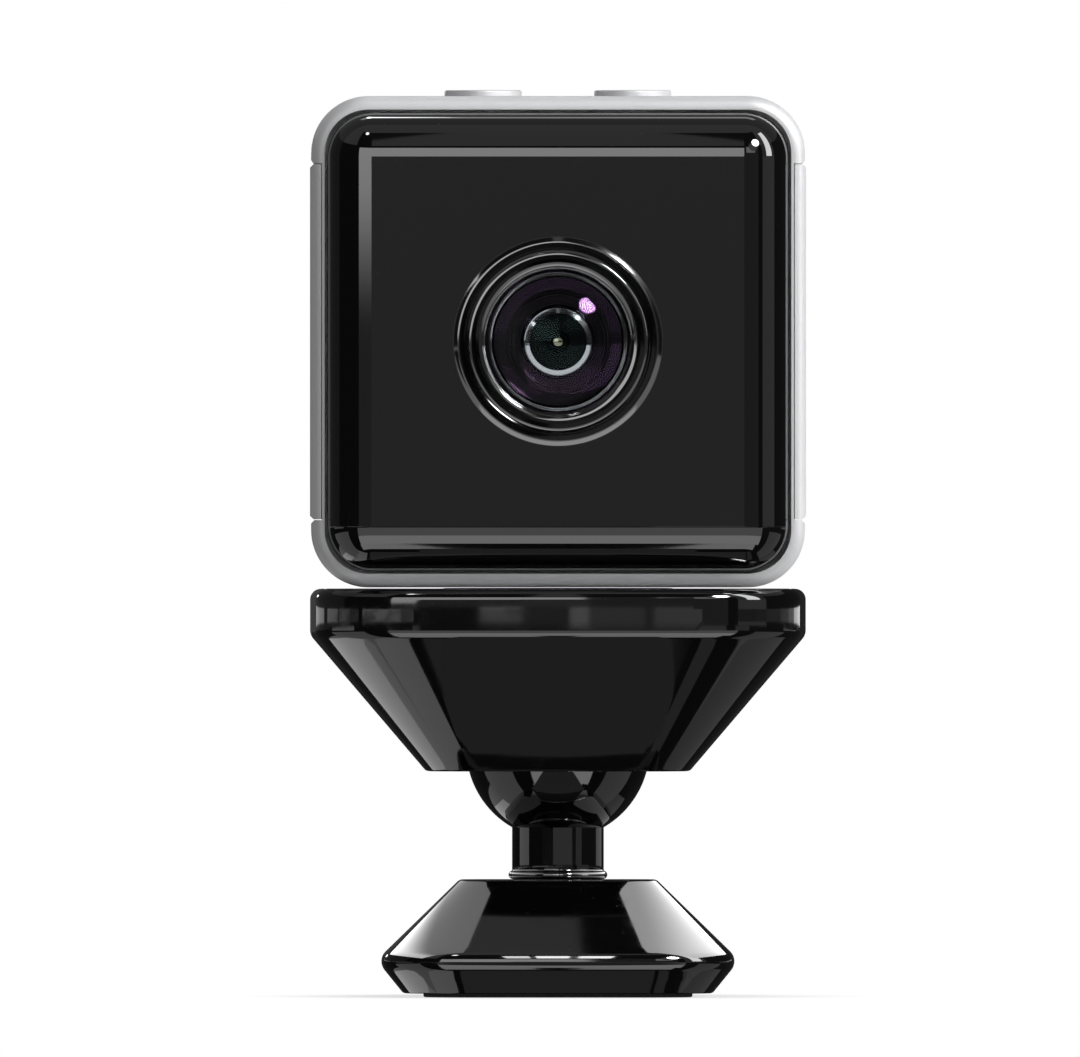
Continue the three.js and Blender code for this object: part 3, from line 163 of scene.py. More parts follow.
def span(node):
    """Lowest and highest corner of a CAD node, in millimetres."""
    low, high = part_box(node)
    return Vector(low) / METRE, Vector(high) / METRE


def middle(node, *axes):
    """The middle of a CAD node's box along the axes."""
    low, high = span(node)
    return [(low[i] + high[i]) / 2 for i in axes]


def half_size(node, *axes):
    low, high = span(node)
    return [(high[i] - low[i]) / 2 for i in axes]


def numbered(stem, count):
    return ["%s_%d" % (stem, i + 1) for i in range(count)]


CENTRE_Z = middle("housing", Z)[0]


# ---- Outlines ----

def arc(centre_x, centre_y, radius, start, end, steps):
    """Points of an arc between two angles in degrees."""
    angles = (math.radians(start + (end - start) * i / steps) for i in range(steps + 1))
    return [(centre_x + radius * math.cos(a), centre_y + radius * math.sin(a)) for a in angles]


def rounded_path(corners, steps=6):
    """A path through (x, y, radius) corners whose bends are true arcs."""
    path = []
    for i, (x, y, radius) in enumerate(corners):
        here = Vector((x, y))
        if radius == 0 or i in (0, len(corners) - 1):
            path.append((x, y))
            continue
        before = (Vector(corners[i - 1][:2]) - here).normalized()
        after = (Vector(corners[i + 1][:2]) - here).normalized()
        half_turn = before.angle(after) / 2
        start = here + before * (radius / math.tan(half_turn))
        end = here + after * (radius / math.tan(half_turn))
        centre = here + (before + after).normalized() * (radius / math.sin(half_turn))
        from_angle = math.degrees(math.atan2(start.y - centre.y, start.x - centre.x))
        sweep = math.degrees(math.atan2(end.y - centre.y, end.x - centre.x)) - from_angle
        sweep = (sweep + 180) % 360 - 180
        path += arc(centre.x, centre.y, radius, from_angle, from_angle + sweep, steps)
    return path


def square_ring(half_x, half_y, corner, crown=0.0, steps=CORNER_STEPS):
    """A rounded rectangle whose flats may swell by a small crown towards their middles."""
    corner = max(corner, 0.02)
    flat_steps = 8 if crown else 1
    reach_x, reach_y = half_x - crown - corner, half_y - crown - corner
    bends = [arc(sign_x * reach_x, sign_y * reach_y, corner, 90 * k, 90 * (k + 1), steps)
             for k, (sign_x, sign_y) in enumerate(((1, 1), (-1, 1), (-1, -1), (1, -1)))]
    ring = []
    for k, bend in enumerate(bends):
        ring += bend
        (end_x, end_y), (to_x, to_y) = bend[-1], bends[(k + 1) % 4][0]
        outward = math.radians(90 * (k + 1))
        for i in range(1, flat_steps):
            t = i / flat_steps
            swell = crown * (1 - (2 * t - 1) ** 2)
            ring.append((end_x + (to_x - end_x) * t + swell * math.cos(outward),
                         end_y + (to_y - end_y) * t + swell * math.sin(outward)))
    return ring


# ---- Meshes ----

def new_object(name, data):
    piece = bpy.data.objects.new(name, data)
    bpy.context.scene.collection.objects.link(piece)
    return piece


def facing_out(name, mesh):
    """An object from a closed bmesh, with its faces turned outwards."""
    bmesh.ops.recalc_face_normals(mesh, faces=mesh.faces)
    data = bpy.data.meshes.new(name)
    mesh.to_mesh(data)
    mesh.free()
    return new_object(name, data)


def from_rings(name, rings):
    """A skin through rings of equal length, capped at both ends."""
    mesh = bmesh.new()
    rows = [[mesh.verts.new([c * METRE for c in point]) for point in ring] for ring in rings]
    count = len(rows[0])
    for low, high in zip(rows, rows[1:]):
        for i in range(count):
            j = (i + 1) % count
            mesh.faces.new((low[i], low[j], high[j], high[i]))
    mesh.faces.new(reversed(rows[0]))
    mesh.faces.new(rows[-1])
    bmesh.ops.remove_doubles(mesh, verts=mesh.verts, dist=1e-7)
    return facing_out(name, mesh)


def turned(name, profile, axis="Z", centre=(0, 0), segments=96):
    """A turned piece. The profile's points are (radius, place along the axis)."""
    mesh = bmesh.new()
    angles = [2 * math.pi * i / segments for i in range(segments)]
    rows = []
    for radius, along in profile:
        spots = [(radius * math.cos(a), radius * math.sin(a)) for a in angles] if radius > 1e-6 else [(0, 0)]
        places = [(u + centre[0], v + centre[1]) for u, v in spots]
        places = [(u, v, along) if axis == "Z" else (u, along, v) for u, v in places]
        rows.append([mesh.verts.new([c * METRE for c in place]) for place in places])
    pairs = list(zip(rows, rows[1:]))
    if len(rows[0]) > 1 and len(rows[-1]) > 1:
        pairs.append((rows[-1], rows[0]))
    for low, high in pairs:
        for i in range(segments):
            j = (i + 1) % segments
            corners = [low[i % len(low)], low[j % len(low)], high[j % len(high)], high[i % len(high)]]
            corners = list(dict.fromkeys(corners))
            if len(corners) > 2:
                mesh.faces.new(corners)
    return facing_out(name, mesh)


def rod(name, radius, start, end, axis, centre, segments=64):
    return turned(name, [(0, start), (radius, start), (radius, end), (0, end)], axis, centre, segments)


def prism(name, outline, start, end):
    """A straight prism that runs front to back."""
    return from_rings(name, [[(x, y, z) for x, z in outline] for y in (start, end)])


def square_loft(name, path, corner_of, crown=0.0):
    """Rounded squares stacked along a path of (half width, z)."""
    return from_rings(name, [[(x, y, z) for x, y in square_ring(half, half, corner_of(half), crown * half)]
                             for half, z in path])


def inset_loft(name, path, half_x, half_z, corner):
    """Rounded rectangles set along a path of (half width, y). All four sides of each step in alike."""
    rings = []
    for half, y in path:
        inset = half_x - half
        rings.append([(x, y, CENTRE_Z + z) for x, z in square_ring(half, half_z - inset, corner - inset)])
    return from_rings(name, rings)


def settled(piece):
    """Turns the piece's modifiers into plain mesh."""
    bpy.context.view_layer.update()
    evaluated = piece.evaluated_get(bpy.context.evaluated_depsgraph_get())
    mesh = bpy.data.meshes.new_from_object(evaluated)
    mesh.name = piece.name
    old = piece.data
    piece.modifiers.clear()
    piece.data = mesh
    if old.users == 0:
        bpy.data.meshes.remove(old)


def carve(piece, cutters, operation="DIFFERENCE"):
    """Cuts the cutters out of the piece, or keeps what it shares with them, and removes them."""
    for cutter in cutters:
        modifier = piece.modifiers.new(cutter.name, "BOOLEAN")
        modifier.operation = operation
        modifier.solver = "EXACT"
        modifier.object = cutter
    settled(piece)
    for cutter in cutters:
        bpy.data.objects.remove(cutter)


def shade(piece, sharp_degrees):
    """Smooth faces whose true edges stay sharp."""
    for face in piece.data.polygons:
        face.use_smooth = True
    piece.data.set_sharp_from_angle(angle=math.radians(sharp_degrees))


def smooth(piece, sharp_degrees):
    """Shades the piece, and keeps its flats flat beside their rounded borders."""
    shade(piece, sharp_degrees)
    weighted = piece.modifiers.new("flat faces rule", "WEIGHTED_NORMAL")
    weighted.keep_sharp = True
    weighted.weight = 50
    settled(piece)


# ---- Node trees ----

class Nodes:
    """A node tree that is being built."""

    def __init__(self, tree):
        self.tree = tree

    def plug(self, socket, value):
        """Links a socket to another one, or gives it a plain value."""
        if isinstance(value, bpy.types.NodeSocket):
            self.tree.links.new(value, socket)
        else:
            socket.default_value = value

    def wire(self, sockets, **values):
        """Plugs sockets by name. A keyword's underscores stand for the spaces in a socket's name."""
        for name, value in values.items():
            self.plug(sockets[name.replace("_", " ")], value)

    def add(self, kind, settings=None, **sockets):
        """The outputs of a new node whose inputs are plugged by name."""
        node = self.tree.nodes.new(kind)
        for name, value in (settings or {}).items():
            setattr(node, name, value)
        self.wire(node.inputs, **sockets)
        return node.outputs

    def in_order(self, kind, values, indices=(0, 1, 2), **settings):
        """The outputs of a new node whose inputs are plugged by number."""
        node = self.tree.nodes.new(kind)
        for name, value in settings.items():
            setattr(node, name, value)
        for index, value in zip(indices, values):
            self.plug(node.inputs[index], value)
        return node.outputs

    def maths(self, operation, first, second=0.0, clamp=False):
        return self.in_order("ShaderNodeMath", (first, second), operation=operation, use_clamp=clamp)[0]

    def times(self, first, second, clamp=False):
        return self.maths("MULTIPLY", first, second, clamp)

    def radius(self, first, second):
        """The length of two legs at right angles."""
        return self.maths("SQRT", self.maths("ADD", self.times(first, first), self.times(second, second)))

    def vectors(self, operation, *values):
        return self.in_order("ShaderNodeVectorMath", values, operation=operation)["Value"]

    def mix(self, factor, first, second):
        return self.in_order("ShaderNodeMix", (factor, first, second), (0, 2, 3))[0]

    def mix_colour(self, factor, first, second):
        return self.in_order("ShaderNodeMix", (factor, first, second), (0, 6, 7), data_type="RGBA")[2]

    def mix_shader(self, factor, first, second):
        return self.in_order("ShaderNodeMixShader", (factor, first, second))[0]

    def ramp(self, value, low, high, to_low=0.0, to_high=1.0):
        return self.add("ShaderNodeMapRange", {"interpolation_type": "SMOOTHSTEP"}, Value=value,
                        From_Min=low, From_Max=high, To_Min=to_low, To_Max=to_high)["Result"]

    def place(self):
        return self.add("ShaderNodeTexCoord")["Object"]

    def place_parts(self):
        return self.add("ShaderNodeSeparateXYZ", Vector=self.place())

    def facing(self):
        return self.add("ShaderNodeNewGeometry")["Normal"]

    def noise(self, scale, detail=2.0, place=None):
        return self.add("ShaderNodeTexNoise", Scale=scale, Detail=detail, Vector=place or self.place())["Fac"]

    def bump(self, strength, height):
        return self.add("ShaderNodeBump", Strength=strength, Distance=0.00002, Height=height)["Normal"]

    def use(self, group, **inputs):
        return self.add("ShaderNodeGroup", {"node_tree": group}, **inputs)


def node_group(name, kind, inputs, outputs):
    """An empty node group. Inputs are (name, kind, default) and outputs are (name, kind)."""
    tree = bpy.data.node_groups.new(name, kind)
    for label, socket, default in inputs:
        made = tree.interface.new_socket(label, in_out="INPUT", socket_type="NodeSocket" + socket)
        if default is not None:
            made.default_value = default
    for label, socket in outputs:
        tree.interface.new_socket(label, in_out="OUTPUT", socket_type="NodeSocket" + socket)
    return Nodes(tree), tree.nodes.new("NodeGroupInput").outputs, tree.nodes.new("NodeGroupOutput").inputs


def shader_group(name, outputs=(("Mask", "Float"),), **inputs):
    numbers = [(label, "Float", value) for label, value in inputs.items()]
    return node_group(name, "ShaderNodeTree", numbers, outputs)


def make_grain_group():
    """The tiny pits of blasted metal and moulded plastic."""
    outputs = [("Shade", "Float"), ("Normal", "Vector")]
    net, given, put = shader_group("surface grain", outputs, Scale=9000.0, Depth=0.1)
    fine = net.noise(given["Scale"], 3.0)
    net.wire(put, Shade=fine, Normal=net.bump(given["Depth"], fine))
    return net.tree


def make_smudge_group():
    """Faint marks that handling leaves on polished surfaces."""
    net, given, put = shader_group("handling smudges", Scale=120.0, Amount=1.0)
    broad = net.ramp(net.noise(given["Scale"], 4.0), 0.48, 0.72)
    streaks = net.ramp(net.noise(net.times(given["Scale"], 9.0)), 0.35, 0.75)
    net.wire(put, Mask=net.times(net.times(broad, streaks), given["Amount"], clamp=True))
    return net.tree


def make_dust_group():
    """Sparse specks of dust, which settle on what faces up."""
    net, given, put = shader_group("settled dust", Scale=2600.0, Amount=1.0)
    cells = net.add("ShaderNodeTexVoronoi", Scale=given["Scale"], Vector=net.place())
    speck = net.ramp(cells["Distance"], 0.05, 0.12, 1.0, 0.0)
    sparse = net.maths("GREATER_THAN", net.add("ShaderNodeSeparateColor", Color=cells["Color"])[0], 0.86)
    upward = net.ramp(net.add("ShaderNodeSeparateXYZ", Vector=net.facing())["Z"], -0.1, 0.9, 0.25, 1.0)
    net.wire(put, Mask=net.times(net.times(net.times(speck, sparse), upward), given["Amount"], clamp=True))
    return net.tree


def make_edge_group():
    """Polished or worn arrises, found where a surface bends tightly."""
    net, given, put = shader_group("rubbed edges", Radius=0.0002, Amount=1.0)
    bevel = net.add("ShaderNodeBevel", {"samples": 4}, Radius=given["Radius"])["Normal"]
    edge = net.ramp(net.vectors("DOT_PRODUCT", bevel, net.facing()), 0.995, 0.93)
    broken = net.ramp(net.noise(1500.0, 3.0), 0.35, 0.65, 0.3, 1.0)
    net.wire(put, Mask=net.times(net.times(edge, broken), given["Amount"], clamp=True))
    return net.tree


GRAIN = make_grain_group()
SMUDGES = make_smudge_group()
DUST = make_dust_group()
EDGES = make_edge_group()


# ---- Materials ----

def grey(level, tint=(1.0, 1.0, 1.0)):
    return (level * tint[0], level * tint[1], level * tint[2], 1.0)


def principled(name, **settings):
    """A new material, its nodes and its shader's inputs."""
    material = bpy.data.materials.new(name)
    material.use_nodes = True
    net = Nodes(material.node_tree)
    into = material.node_tree.nodes["Principled BSDF"].inputs
    net.wire(into, **settings)
    return material, net, into


def polished_plastic(name, base, roughness, dull, grain_depth=0.02, dust=0.5, smudges=0.8, ior=1.6):
    """Glossy moulded plastic: a faint orange peel, smudges that dull the polish, and a little dust."""
    material, net, into = principled(name, IOR=ior, Specular_IOR_Level=0.85)
    polish = net.mix(net.use(SMUDGES, Scale=140.0, Amount=smudges)["Mask"], roughness, dull)
    specks = net.use(DUST, Amount=dust)["Mask"]
    net.wire(into, Base_Color=net.mix_colour(specks, grey(base), grey(0.08)),
             Roughness=net.mix(specks, polish, 0.6),
             Normal=net.use(GRAIN, Scale=700.0, Depth=grain_depth)["Normal"])
    return material


def satin_metal(name, light, dark, roughness, scale, depth, edge_shine=0.5, metallic=1.0):
    """Blasted and anodised metal: fine pits, and edges that handling has polished."""
    material, net, into = principled(name, Metallic=metallic)
    grain = net.use(GRAIN, Scale=scale, Depth=depth)
    cloud = net.ramp(net.noise(260.0, 3.0), 0.3, 0.7, 0.35, 0.65)
    satin = net.mix(grain["Shade"], roughness - 0.04, roughness + 0.05)
    edge = net.use(EDGES, Amount=edge_shine)["Mask"]
    net.wire(into, Base_Color=net.mix_colour(net.mix(0.5, cloud, grain["Shade"]), dark, light),
             Roughness=net.mix(edge, satin, roughness - 0.12), Normal=grain["Normal"])
    return material


def matt_plastic(name, base, roughness, scale=6000.0, depth=0.35, ior=1.47):
    """Textured moulded plastic or rubber."""
    material, net, into = principled(name, IOR=ior)
    grain = net.use(GRAIN, Scale=scale, Depth=depth)
    darker = [c * 0.75 for c in base[:3]] + [1.0]
    lighter = [min(c * 1.3, 1.0) for c in base[:3]] + [1.0]
    toned = net.mix_colour(grain["Shade"], darker, lighter)
    net.wire(into, Base_Color=net.mix_colour(net.use(DUST, Amount=0.35)["Mask"], toned, grey(0.3)),
             Roughness=net.mix(grain["Shade"], roughness - 0.08, roughness + 0.08), Normal=grain["Normal"])
    return material


def spun_metal(name):
    """Bright keys with fine turning marks about their own middles."""
    material, net, into = principled(name, Metallic=0.1)
    place = net.place_parts()
    centre_x, centre_y = middle("power_button", X, Y)
    radius = net.radius(net.maths("SUBTRACT", net.maths("ABSOLUTE", place["X"]), abs(centre_x) * METRE),
                        net.maths("SUBTRACT", place["Y"], centre_y * METRE))
    marks = net.add("ShaderNodeCombineXYZ", X=net.times(radius, 22000.0), Y=net.times(place["Z"], 4000.0))[0]
    rings = net.noise(1.0, place=marks)
    edge = net.use(EDGES, Radius=0.00012, Amount=0.6)["Mask"]
    tint = (1.0, 1.0, 1.02)
    net.wire(into, Base_Color=net.mix_colour(rings, grey(0.58, tint), grey(0.74, tint)),
             Roughness=net.mix(edge, net.mix(rings, 0.4, 0.5), 0.3), Normal=net.bump(0.12, rings))
    return material


def coated_glass(name, body, inner_coating, outer_coating, ior, painted_from=0.02):
    """Lens glass: its coating dims what it mirrors, and changes colour between its middle and its border.
    Past the painted radius, in metres, the glass is blackened as lens makers do."""
    material, net, into = principled(name, IOR=ior, Metallic=0.0, Transmission_Weight=1.0)
    place = net.place_parts()
    radius = net.radius(place["X"], net.maths("SUBTRACT", place["Z"], CENTRE_Z * METRE))
    painted = net.maths("GREATER_THAN", radius, painted_from)
    coating = net.mix_colour(net.ramp(radius, 0.0018, 0.0028), inner_coating + (1.0,), outer_coating + (1.0,))
    smudge = net.use(SMUDGES, Scale=420.0, Amount=0.5)["Mask"]
    net.wire(into, Base_Color=net.mix_colour(painted, body + (1.0,), grey(0.0)), Specular_Tint=coating,
             Roughness=net.mix(smudge, 0.01, 0.04))
    return material


def circuit_board():
    """Green solder resist with copper tracks and plated vias."""
    material, net, into = principled("circuit_board_resist", IOR=1.5)
    place = net.place()
    bricks = net.add("ShaderNodeTexBrick", Vector=place, Scale=420.0, Mortar_Size=0.12)
    track = net.ramp(bricks["Fac"], 0.3, 0.7)
    cells = net.add("ShaderNodeTexVoronoi", Scale=520.0, Vector=place)
    via = net.ramp(cells["Distance"], 0.12, 0.16, 1.0, 0.0)
    resist = net.mix_colour(track, (0.012, 0.09, 0.04, 1.0), (0.03, 0.17, 0.07, 1.0))
    net.wire(into, Base_Color=net.mix_colour(via, resist, (0.72, 0.52, 0.2, 1.0)), Metallic=via,
             Roughness=net.mix(track, 0.28, 0.4), Normal=net.bump(0.2, track))
    return material


SILVER_TINT = (0.99, 0.995, 1.01)
NICKEL_TINT = (1.0, 0.98, 0.94)
silver = satin_metal("housing_satin_silver", grey(0.83, SILVER_TINT), grey(0.78, SILVER_TINT),
                     0.42, 16000.0, 0.015, 0.2, 0.08)
button_metal = spun_metal("button_spun_silver")
gloss_black = polished_plastic("stand_gloss_black", 0.0025, 0.05, 0.13)
panel_black = polished_plastic("front_panel_black", 0.003, 0.03, 0.05, grain_depth=0.006, smudges=0.4)
bezel_black = polished_plastic("bezel_piano_black", 0.003, 0.07, 0.12, grain_depth=0.005, dust=0.0, ior=1.9)
matt_black = matt_plastic("matt_black_plastic", grey(0.012), 0.5)
barrel_black = matt_plastic("barrel_matt_black", grey(0.005), 0.6, ior=1.15)
ring_metal = satin_metal("lens_ring_metal", grey(0.52), grey(0.46), 0.07, 9000.0, 0.02)
rubber = matt_plastic("black_rubber", grey(0.02), 0.82, 3500.0, 0.6)
cup_plastic = matt_plastic("natural_acetal", (0.78, 0.75, 0.66, 1.0), 0.42, 5000.0, 0.1)
chip_black = matt_plastic("chip_epoxy", grey(0.02), 0.45, 9000.0, 0.2)
led_clear = matt_plastic("clear_resin", (0.62, 0.66, 0.7, 1.0), 0.16, 2500.0, 0.04)
steel = satin_metal("bright_steel", grey(0.66), grey(0.48), 0.3, 7000.0, 0.1)
cast_steel = satin_metal("cast_steel", grey(0.42), grey(0.27), 0.5, 2500.0, 0.5, 0.2)
nickel = satin_metal("magnet_nickel", grey(0.72, NICKEL_TINT), grey(0.58, NICKEL_TINT), 0.22, 5000.0, 0.05)
foil = satin_metal("battery_foil", grey(0.74), grey(0.5), 0.36, 900.0, 0.4)
flex = satin_metal("antenna_copper", (0.72, 0.43, 0.24, 1.0), (0.5, 0.27, 0.12, 1.0), 0.3, 3000.0, 0.1)
front_glass = coated_glass("front_lens_glass", (0.9, 0.93, 0.96), (0.09, 0.15, 0.15), (0.3, 0.16, 0.36), 1.4,
                           (GLASS_RADIUS - 0.1) * METRE)
inner_glass = coated_glass("inner_lens_glass", (0.85, 0.9, 0.9), (0.05, 0.08, 0.08), (0.08, 0.1, 0.14), 1.3)
deep_glass = coated_glass("rear_lens_glass", (0.02, 0.02, 0.01), (1.0, 0.88, 0.62), (1.0, 0.88, 0.62), 4.0)
board_green = circuit_board()


def paint(piece, material):
    piece.data.materials.clear()
    piece.data.materials.append(material)


def finished(piece, material, body, *nodes, slot=None, sharp=32):
    """Shades a piece smoothly, gives it its material and body, and lets it stand for the CAD nodes."""
    smooth(piece, sharp)
    paint(piece, material)
    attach(piece, body)
    if nodes:
        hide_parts(*nodes)


# ---- Foot and head outlines ----

head_low, head_high = span("head_shell")
HEAD_BOTTOM_Z, HEAD_TOP_Z = head_low.z, head_high.z
HEAD_BAND_HALF = head_high.x
HEAD_BAND_Z = HEAD_TOP_Z - HEAD_BAND_HEIGHT
BALL_Z = span("ball_stem")[1].z - BALL_RADIUS


def mapped(value, from_a, from_b, to_a, to_b):
    return to_a + (value - from_a) / (from_b - from_a) * (to_b - to_a)


def foot_corner(half):
    return mapped(half, FOOT_TOP_HALF, FOOT_WIDE_HALF, FOOT_TOP_CORNER, FOOT_WIDE_CORNER)


def head_corner(half):
    return mapped(half, HEAD_BOTTOM_HALF, HEAD_BAND_HALF, HEAD_BOTTOM_CORNER, HEAD_BAND_CORNER)


def broken_up(path, step=0.5):
    """The path with its long straight runs broken up, so that light bends smoothly along them."""
    fine = [path[0]]
    for (x0, z0), (x1, z1) in zip(path, path[1:]):
        pieces = max(1, int(math.hypot(x1 - x0, z1 - z0) / step))
        fine += [(x0 + (x1 - x0) * i / pieces, z0 + (z1 - z0) * i / pieces) for i in range(1, pieces + 1)]
    return fine


def slab(name, node, low_round, high_round, corner, steps):
    """A rounded square plate that fills a CAD node's box."""
    low, high = span(node)
    half = high.x
    outline = [(TIP, low.z, 0), (half, low.z, low_round), (half, high.z, high_round), (TIP, high.z, 0)]
    return square_loft(name, rounded_path(outline, steps), lambda x: corner - (half - x))


# ---- Foot ----

def make_base_shell():
    low, high = span("base_shell")
    path = rounded_path([
        (TIP, low.z, 0), (FOOT_BOTTOM_HALF, low.z, FOOT_BOTTOM_ROUND),
        (FOOT_WIDE_HALF, low.z + FOOT_SKIRT_HEIGHT, FOOT_WIDE_ROUND), (FOOT_TOP_HALF, high.z, EDGE_ROUND),
        (TIP, high.z, 0),
    ], 8)
    shell = square_loft("base_shell_skin", broken_up(path), foot_corner, FOOT_CROWN)
    seat = FOOT_BOTTOM_HALF - FOOT_WALL
    plate_top, weight_high = span("base_plate")[1].z, span("base_weight")[1]
    wide = weight_high.x + 0.1
    room = [(wide, plate_top), (wide, weight_high.z - WEIGHT_CHAMFER),
            (wide - WEIGHT_CHAMFER, weight_high.z + 0.1)]
    carve(shell, [square_loft("plate seat", [(seat, -1.0), (seat, plate_top + GAP)], foot_corner),
                  square_loft("weight room", room, foot_corner),
                  rod("screw hole", STEM_SCREW_HOLE, 0.0, high.z + OVERRUN, "Z", (0, 0))])
    finished(shell, gloss_black, "base", "base_shell", slot="gloss_black")


def make_base_pad():
    half = span("base_pad")[1].x
    pad = slab("base_pad_skin", "base_pad", 0.12, 0.12, foot_corner(half), 4)
    treads = []
    for i in range(-3, 4):
        offset = i * TREAD_PITCH
        ridge = [(offset - 0.3, -0.2), (offset + 0.3, -0.2), (offset + 0.12, 0.18), (offset - 0.12, 0.18)]
        treads.append(prism("tread %d" % i, ridge, TREAD_INSET - half, half - TREAD_INSET))
    carve(pad, treads)
    finished(pad, rubber, "base", "base_pad", slot="black_rubber")


# ---- Stem and ball ----

def make_ball_stem():
    low = span("ball_stem")[0]
    neck = math.degrees(math.asin(STEM_RADIUS / BALL_RADIUS))
    collar = COLLAR_HEIGHT / 2
    profile = [(0, BORE_TIP_Z), (STEM_BORE, BORE_END_Z), (STEM_BORE, low.z)]
    profile += arc(COLLAR_RADIUS - collar, low.z + collar, collar, -90, 70, 12)
    profile += arc(STEM_RADIUS + COLLAR_FILLET, low.z + COLLAR_HEIGHT + 0.08, COLLAR_FILLET, 250, 180, 6)
    profile += [(STEM_RADIUS, z) for z in (8.6, 9.4, 10.1)]
    profile += arc(0, BALL_Z, BALL_RADIUS, neck - 90, 90, 60)
    stem = turned("ball_stem_skin", profile, segments=160)
    finished(stem, gloss_black, "stem", "ball_stem", slot="gloss_black", sharp=40)


# ---- Head ----

def make_head_shell():
    path = rounded_path([
        (TIP, HEAD_BOTTOM_Z, 0), (HEAD_BOTTOM_HALF, HEAD_BOTTOM_Z, EDGE_ROUND),
        (HEAD_BAND_HALF, HEAD_BAND_Z, HEAD_BAND_ROUND), (HEAD_BAND_HALF, HEAD_TOP_Z, HEAD_TOP_ROUND),
        (TIP, HEAD_TOP_Z, 0),
    ], 10)
    shell = square_loft("head_shell_skin", broken_up(path), head_corner, HEAD_CROWN)
    slope = (HEAD_BAND_HALF - HEAD_BOTTOM_HALF) / (HEAD_BAND_Z - HEAD_BOTTOM_Z)
    floor_z = BALL_Z + HEAD_FLOOR_RISE
    floor_half = HEAD_BOTTOM_HALF + (floor_z - HEAD_BOTTOM_Z) * slope - HEAD_WALL * math.hypot(1, slope)
    inner_half = HEAD_BAND_HALF - HEAD_WALL
    inner_z = floor_z + (inner_half - floor_half) / slope
    corners = {floor_half: HEAD_ROOM_FLOOR_CORNER, inner_half: HEAD_ROOM_CORNER}
    room = [(floor_half, floor_z), (inner_half, inner_z), (inner_half, HEAD_TOP_Z - 0.9)]
    seat = HEAD_BAND_HALF - HEAD_COVER_RIM
    rebate = [(seat, span("head_cover")[0].z - GAP), (seat, HEAD_TOP_Z + OVERRUN)]
    socket = BALL_RADIUS + BALL_CLEARANCE
    mouth = math.sqrt(socket ** 2 - (BALL_Z - HEAD_BOTTOM_Z) ** 2)
    flare = [(0, HEAD_BOTTOM_Z - 0.5), (mouth + 0.75, HEAD_BOTTOM_Z - 0.5), (mouth, HEAD_BOTTOM_Z + 0.25),
             (0, HEAD_BOTTOM_Z + 0.25)]
    carve(shell, [square_loft("head room", room, corners.get),
                  square_loft("cover seat", rebate, lambda half: HEAD_BAND_CORNER - HEAD_COVER_RIM),
                  turned("socket", arc(0, BALL_Z, socket, -90, 90, 48)), turned("socket lead-in", flare)])
    finished(shell, gloss_black, "head", "head_shell", slot="gloss_black")


def make_head_cover():
    cover = slab("head_cover_skin", "head_cover", 0.05, 0.12, HEAD_BAND_CORNER - HEAD_COVER_RIM, 5)
    top = span("head_cover")[1].z
    pad_low, pad_high = span("grip_pad")
    seat = [(0, pad_low.z - GAP), (pad_high.x + 0.1, pad_low.z - GAP), (pad_high.x + 0.1, top - 0.12),
            (pad_high.x + 0.3, top + 0.08), (0, top + 0.08)]
    carve(cover, [turned("pad seat", seat, segments=128)])
    finished(cover, gloss_black, "head", "head_cover", slot="gloss_black")


# ---- Housing ----

house_low, house_high = span("housing")
HALF_X, HALF_Z = house_high.x, house_high.z - CENTRE_Z
RIM_Y, REAR_Y = house_low.y, house_high.y
FRONT_Y = span("front_panel")[0].y
COVER_Y = REAR_Y - COVER_THICKNESS
LENS_AXIS = (0, CENTRE_Z)


def envelope(name, extra):
    """The housing's outside, with all its sides moved out by the extra."""
    half = HALF_X + extra
    path = rounded_path([(half - 1.2, RIM_Y, 0), (half, RIM_Y, RIM_ROUND), (half, REAR_Y, REAR_ROUND),
                         (half - 1.2, REAR_Y, 0)], 10)
    return inset_loft(name, path, half, HALF_Z + extra, HOUSING_CORNER + extra)


def sleeve(name, inset, start, end):
    """A straight block as wide as the housing less the inset."""
    half = HALF_X - inset
    return inset_loft(name, [(half, start), (half, end)], half, HALF_Z - inset, HOUSING_CORNER - inset)


def side_prism(name, side, points):
    """A prism along the housing's right side, or its left side where the side is -1."""
    return prism(name, [(side * x, CENTRE_Z + z) for x, z in points], FRONT_Y, REAR_Y + OVERRUN)


